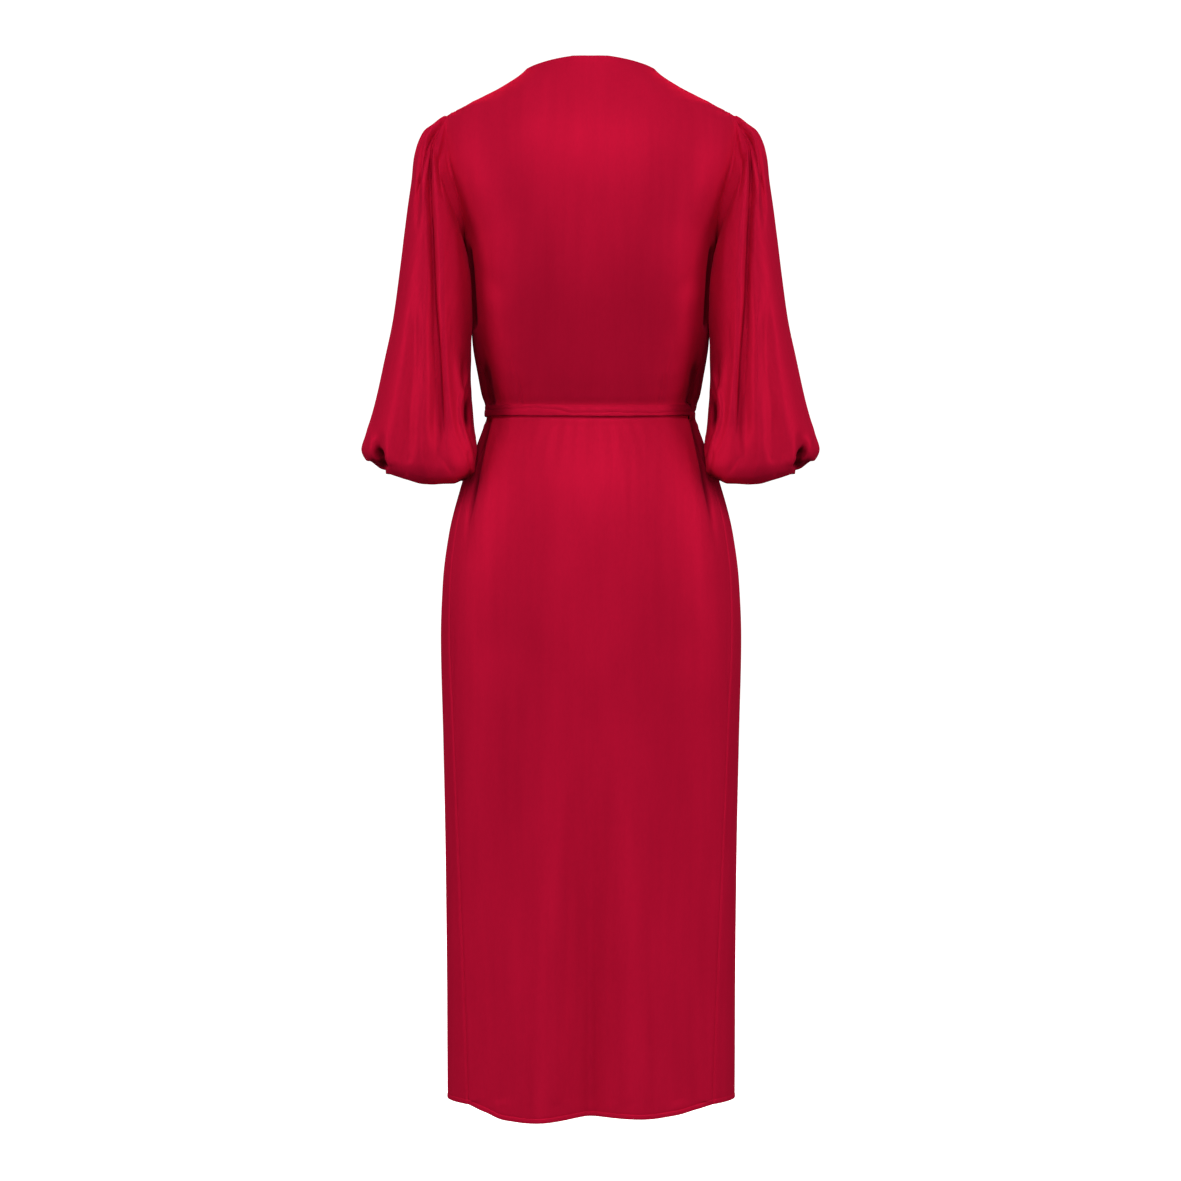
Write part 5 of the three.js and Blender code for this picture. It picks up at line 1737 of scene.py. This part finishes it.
SLEEVE_CREASES = (
    Crease(
        (
            (166.5, -52.5), (172, -57), (178.5, -67), (185, -78), (191, -93),
            (196, -112), (201, -133), (206, -160), (210, -190),
        ),
        1.3, -2.7, fade=(0.0, 0.8),
    ),
    Crease(
        ((166.5, -53), (173, -61), (179, -72), (184.5, -84), (187, -96), (187.8, -121.6), (187.2, -161)),
        1.3, -3.2, fade=(0.0, 0.45),
    ),
    Crease(
        (
            (187.8, -120), (187.2, -150), (185, -190), (181.8, -270),
            (176.9, -329), (174.2, -378.7), (171, -428), (173, -452),
        ),
        1.7, -2.0, fade=(0.15, 0.25),
    ),
    Crease(
        ((166.8, -62), (168, -80), (167.6, -100.5), (165.9, -112), (161.1, -134)),
        1.3, -1.8, fade=(0.15, 0.4),
    ),
    Crease(((164.8, -70), (163.9, -85), (162.4, -105), (159.4, -127)), 1.3, 1.0, fade=(0.2, 0.4)),
    Crease(
        ((168, -54), (176, -65), (183, -79), (188.5, -96), (193, -125), (196, -170)),
        1.8, 2.2, fade=(0.03, 0.75),
    ),
    Crease(((166.8, -55), (170.5, -66), (175, -79), (178.5, -96), (180, -125)), 2.8, 2.4, fade=(0.03, 0.7)),
    Crease(((168, -51.5), (176, -57), (185, -67), (193, -81), (200, -105)), 2.4, 1.8, fade=(0.03, 0.7)),
    Crease(((263, -455), (251, -462), (238, -467)), 6.0, -5.0, fade=(0.3, 0.3), turned=(-0.3, 0.1)),
    Crease(((134, -468), (145, -478), (160, -484)), 6.0, -3.0, fade=(0.2, 0.4), turned=ALL_ROUND),
    Crease(((168, -486), (190, -488), (216, -482)), 9.0, 2.2, fade=(0.4, 0.4), turned=ALL_ROUND),
    Crease(((179, -330), (178.5, -380), (177, -430), (181, -470)), 5.0, -1.3, fade=(0.4, 0.2)),
    Crease(((170, -130), (171, -190), (168, -260)), 6.0, 1.3, fade=(0.4, 0.5)),
    Crease(((158, -150), (157, -200), (153, -260)), 4.0, 0.9, fade=(0.4, 0.5)),
    Crease(((164.9, -280), (164.9, -300), (164.5, -330)), 2.0, 0.4, fade=(0.4, 0.4)),
    Crease(((194.9, -255), (194.9, -330), (194.9, -410)), 2.0, 0.7, fade=(0.4, 0.3)),
    Crease(((198.4, -255), (198.6, -330), (199, -400)), 2.0, -0.35, fade=(0.4, 0.3)),
    Crease(
        ((172, -260), (169.4, -334.5), (165.4, -379.5), (157.6, -424.4), (141.2, -464)),
        3.0, 0.9, fade=(0.3, 0.15),
    ),
    Crease(
        ((141.9, -345.3), (146.5, -364.7), (153.2, -393), (148.7, -416.9), (141.2, -439.3), (136, -461.7)),
        1.9, 1.9, fade=(0.15, 0.15),
    ),
    Crease(((141, -372), (144.3, -400.5), (141.5, -425)), 3.6, -3.6, fade=(0.4, 0.4)),
    Crease(((213.5, -350), (212.8, -409.4), (211.4, -439.3), (214.3, -462)), 5.0, -1.2, fade=(0.5, 0.1)),
    Crease(((251, -428), (248.5, -443), (243, -459), (239, -464)), 3.2, -4.6, fade=(0.5, 0.0)),
    Crease(((249, -439), (247, -447), (244, -454)), 4.4, -3.4, fade=(0.4, 0.4)),
    Crease(((259, -405), (257, -430), (252, -452)), 4.0, 1.3, fade=(0.5, 0.2)),
    Crease(((237, -415), (239, -435), (233, -462)), 4.0, 1.2, fade=(0.5, 0.1)),
    Crease(((200, -420), (197, -445), (190, -478)), 5.0, 0.8, fade=(0.4, 0.05)),
    Crease(((226, -440), (221, -458), (216, -474)), 3.0, -0.8, fade=(0.4, 0.1)),
    Crease(((176, -445), (166, -462), (158, -472)), 3.0, -1.1, fade=(0.3, 0.3)),
    Crease(((143, -440), (141, -458), (139, -470)), 2.0, -1.2, fade=(0.3, 0.1)),
    Crease(((166, -60), (186, -78), (200, -110), (203, -150)), 2.0, -2.4, fade=(0.0, 0.6), face=Face.FRONT),
    Crease(
        ((165, -58), (178, -86), (188, -140), (186, -260), (178, -420)),
        2.2, -1.8, fade=(0.0, 0.5), face=Face.FRONT,
    ),
    Crease(((190, -90), (196, -160), (196, -260)), 4.0, 1.2, fade=(0.2, 0.6), face=Face.FRONT),
    Crease(((212, -330), (214, -400), (214, -462)), 5.0, -1.8, fade=(0.4, 0.0), face=Face.FRONT),
    Crease(((230, -300), (240, -380), (246, -450)), 6.0, 1.4, fade=(0.4, 0.1), face=Face.FRONT),
    Crease(((150, -330), (158, -400), (150, -465)), 4.0, -1.8, fade=(0.3, 0.1), face=Face.FRONT),
)


@dataclass
class Bodice:
    """The bodice: a back with two darts, and two wrap fronts, the right one over the left."""

    seam: Border = Border.SEAM

    def back(self) -> Panel:
        """Return the back bodice."""
        rise = NECK_ARCH.rise * (1.0 - np.linspace(0.0, 1.0, 22)[:-1] ** NECK_ARCH.power)
        return Panel(
            name="bodice_back",
            cut=(0.425, 0.445),
            cut_area=0.148,
            heights=bodice_rows(rise[rise > 0.05]),
            start=lambda z: slot_angle(z) - NECK_ARCH.side(z),
            end=NECK_ARCH.side,
            width=330.0,
            borders={"start": self.seam, "end": self.seam, "bottom": self.seam, "top": Border.EDGE},
            creases=BACK_BODICE_CREASES,
            ripples=(Ripples(0.06, 11.0, 5.0, -330.0, 11), Ripples(0.12, 31.0, 5.0, -380.0, 12)),
            step=1.9,
        )

    def front(self, word: str, side: float) -> Panel:
        """Return a wrap front, by the wearer's side."""
        over = side < 0.0
        return Panel(
            name=f"bodice_front_{word}",
            cut=(0.300, 0.460),
            cut_area=0.082,
            heights=bodice_rows(np.array([FRONT_TOP_Z])),
            start=lambda z: bodice_side(z, Face.FRONT) + (slot_angle(z) if over else 0.0 * z),
            end=wrap_edge,
            tucks=True,
            width=215.0,
            out=overlap_out if over else close_to_body,
            side=side,
            borders={"start": self.seam, "end": Border.EDGE, "bottom": self.seam, "top": self.seam},
            creases=FRONT_CREASES,
            ripples=(Ripples(0.10, 26.0, -10.0, -380.0, 13),),
        )

    def build(self) -> list[bpy.types.Object]:
        """Make the three panels."""
        panels = (self.back(), self.front("left", 1.0), self.front("right", -1.0))
        return [panel.build() for panel in panels]


@dataclass
class Skirt:
    """The skirt: a back gathered a little at the waist, and two wrap fronts."""

    seam: Border = Border.SEAM

    def back(self) -> Panel:
        """Return the back skirt."""
        return Panel(
            name="skirt_back",
            cut=(0.480, 0.835),
            cut_area=0.300,
            heights=skirt_rows(),
            start=lambda z: slot_angle(z) - skirt_side(z, Face.BACK),
            end=lambda z: skirt_side(z, Face.BACK),
            width=400.0,
            borders={"start": self.seam, "end": self.seam, "bottom": Border.HEM, "top": self.seam},
            creases=BACK_SKIRT_CREASES,
            ripples=(Ripples(0.13, 11.5, -398.0, -600.0, 21), Ripples(0.10, 31.0, -420.0, -1190.0, 22)),
            step=2.2,
        )

    def front(self, word: str, side: float) -> Panel:
        """Return a wrap front, by the wearer's side."""
        over = side < 0.0
        return Panel(
            name=f"skirt_front_{word}",
            cut=(0.500, 0.835),
            cut_area=0.345,
            heights=skirt_rows(),
            start=lambda z: skirt_side(z, Face.FRONT) + (slot_angle(z) if over else 0.0 * z),
            end=wrap_edge,
            tucks=True,
            width=400.0,
            out=overlap_out if over else close_to_body,
            side=side,
            borders={"start": self.seam, "end": Border.EDGE, "bottom": Border.HEM, "top": self.seam},
            creases=FRONT_SKIRT_CREASES,
            ripples=(Ripples(0.14, 26.0, -398.0, -640.0, 23), Ripples(0.09, 40.0, -420.0, -1190.0, 24)),
            step=3.2,
        )

    def build(self) -> list[bpy.types.Object]:
        """Make the three panels."""
        panels = (self.back(), self.front("left", 1.0), self.front("right", -1.0))
        return [panel.build() for panel in panels]


@dataclass
class Sleeves:
    """Both balloon sleeves with their cuffs."""

    def build(self) -> list[bpy.types.Object]:
        """Make the sleeves and cuffs."""
        made = []
        for word, side, seed in (("left", 1.0, 31), ("right", -1.0, 32)):
            ripples = (Ripples(0.12, 19.0, -50.0, -480.0, seed),)
            sleeve = Sleeve(word, side, (0.480, 0.500), 0.188, creases=SLEEVE_CREASES, ripples=ripples)
            made += [sleeve.build(), Cuff(word, side).build()]
        return made


@dataclass
class Belt:
    """The belt: a long tie through the slot and round the back, a short tie, their knot and two ends."""

    short_out: float = 3.3

    def build(self) -> list[bpy.types.Object]:
        """Make the belt's pieces."""
        long_tie = BeltTie(
            name="belt_tie_long",
            cut=(0.400, 0.013),
            cut_area=None,
            start=-120.0,
            end=116.5,
            columns=620,
            out=lambda angle: TIE_PATH.read("out", angle),
            through_slot=True,
        )
        short_tie = BeltTie(
            name="belt_tie_short",
            cut=(0.0135, 0.013),
            cut_area=None,
            start=121.6,
            end=129.0,
            columns=30,
            out=lambda angle: np.full(angle.shape, self.short_out),
            through_slot=False,
        )
        upper = BeltEnd("belt_end_upper", 4.95, -770.0, 118.8, 4.5, 41, (0.375, 0.011), None)
        lower = BeltEnd("belt_end_lower", 3.4, -815.0, 118.2, -3.5, 42, (0.420, 0.011), None)
        return [long_tie.build(), short_tie.build(), Knot().build(), upper.build(), lower.build()]


@dataclass
class Softbox:
    """A rectangular softbox that points at the dress."""

    name: str
    place: tuple[float, float, float]
    aim: tuple[float, float, float]
    size: tuple[float, float]
    power: float

    def build(self) -> None:
        """Hang the softbox."""
        light = bpy.data.lights.new(self.name, "AREA")
        light.shape = "RECTANGLE"
        light.size, light.size_y = self.size
        light.energy = self.power
        lamp = bpy.data.objects.new(self.name, light)
        lamp.location = self.place
        lamp.rotation_euler = (Vector(self.aim) - Vector(self.place)).to_track_quat("-Z", "Y").to_euler()
        bpy.context.scene.collection.objects.link(lamp)


@dataclass
class Studio:
    """The camera, the white floor and room, and the soft lights."""

    floor_height: float = -1.40
    floor_radius: float = 14.0
    room_share: float = 1.2
    world: float = 0.07
    glow: float = 1.0
    lights: Sequence[Softbox] = (
        Softbox("back softbox", (0.0, 5.4, 4.1), (0.0, 0.0, -0.6), (5.4, 2.4), 198.0),
        Softbox("low softbox", (0.0, 5.2, -0.9), (0.0, 0.0, -0.8), (3.4, 2.0), 42.0),
        Softbox("left softbox", (5.7, 1.9, 1.0), (0.0, 0.0, -0.7), (2.2, 3.6), 125.0),
        Softbox("right softbox", (-5.7, 1.9, 1.0), (0.0, 0.0, -0.7), (2.2, 3.6), 125.0),
        Softbox("top softbox", (0.0, -0.2, 5.2), (0.0, 0.0, -0.2), (3.2, 1.2), 34.0),
        Softbox("front softbox", (0.0, -5.5, 3.8), (0.0, 0.0, -0.6), (5.0, 2.4), 260.0),
    )

    def camera(self) -> None:
        """Place the camera level with the hips behind the dress."""
        data = bpy.data.cameras.new("camera")
        data.sensor_width = 36.0
        data.lens = data.sensor_width * CAMERA_DISTANCE / VIEW_WIDTH
        data.clip_end = 100.0
        camera = bpy.data.objects.new("camera", data)
        camera.location = (0.0, CAMERA_DISTANCE * MM, CAMERA_HEIGHT * MM)
        camera.rotation_euler = (math.pi / 2.0, 0.0, math.pi)
        bpy.context.scene.collection.objects.link(camera)
        bpy.context.scene.camera = camera

    def _pale(self, name: str) -> bpy.types.Material:
        """Return a plain white finish for the set, which glows so that the background stays white."""
        material = bpy.data.materials.new(name)
        material.use_nodes = True
        shader = material.node_tree.nodes["Principled BSDF"]
        shader.inputs["Base Color"].default_value = (0.9, 0.9, 0.9, 1.0)
        shader.inputs["Roughness"].default_value = 0.9
        shader.inputs["Specular IOR Level"].default_value = 0.0
        shader.inputs["Emission Color"].default_value = (1.0, 1.0, 1.0, 1.0)
        shader.inputs["Emission Strength"].default_value = self.glow
        return material

    def _quiet(self, name: str) -> None:
        """Make the newest object a white part of the set that doesn't wash the dress with light."""
        made = bpy.context.active_object
        made.name = name
        made.data.materials.append(self._pale(name))
        made.visible_diffuse = False
        made.visible_glossy = False
        made.visible_shadow = False

    def floor(self) -> None:
        """Lay the floor and stand the white studio round it."""
        place = (0.0, 0.0, self.floor_height)
        reach = self.floor_radius
        bpy.ops.mesh.primitive_circle_add(vertices=96, radius=reach, fill_type="NGON", location=place)
        self._quiet("floor")
        reach *= self.room_share
        bpy.ops.mesh.primitive_uv_sphere_add(segments=48, ring_count=24, radius=reach, location=place)
        self._quiet("white_room")

    def sky(self) -> None:
        """Fill the studio with even soft light."""
        world = bpy.data.worlds.new("studio")
        world.use_nodes = True
        world.node_tree.nodes["Background"].inputs["Color"].default_value = (1.0, 1.0, 1.0, 1.0)
        world.node_tree.nodes["Background"].inputs["Strength"].default_value = self.world
        bpy.context.scene.world = world

    def build(self) -> None:
        """Set up the studio."""
        bpy.context.scene.view_settings.view_transform = "Standard"
        bpy.context.scene.view_settings.look = "None"
        self.camera()
        self.floor()
        self.sky()
        for light in self.lights:
            light.build()


def main() -> None:
    """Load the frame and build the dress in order."""
    logging.basicConfig(level=logging.INFO, format="%(message)s")
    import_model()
    Studio().build()
    for part in (Bodice(), Skirt(), Sleeves(), Belt()):
        for made in part.build():
            LOG.info("made %s", made.name)
    bpy.context.view_layer.update()


if __name__ == "__main__":
    main()
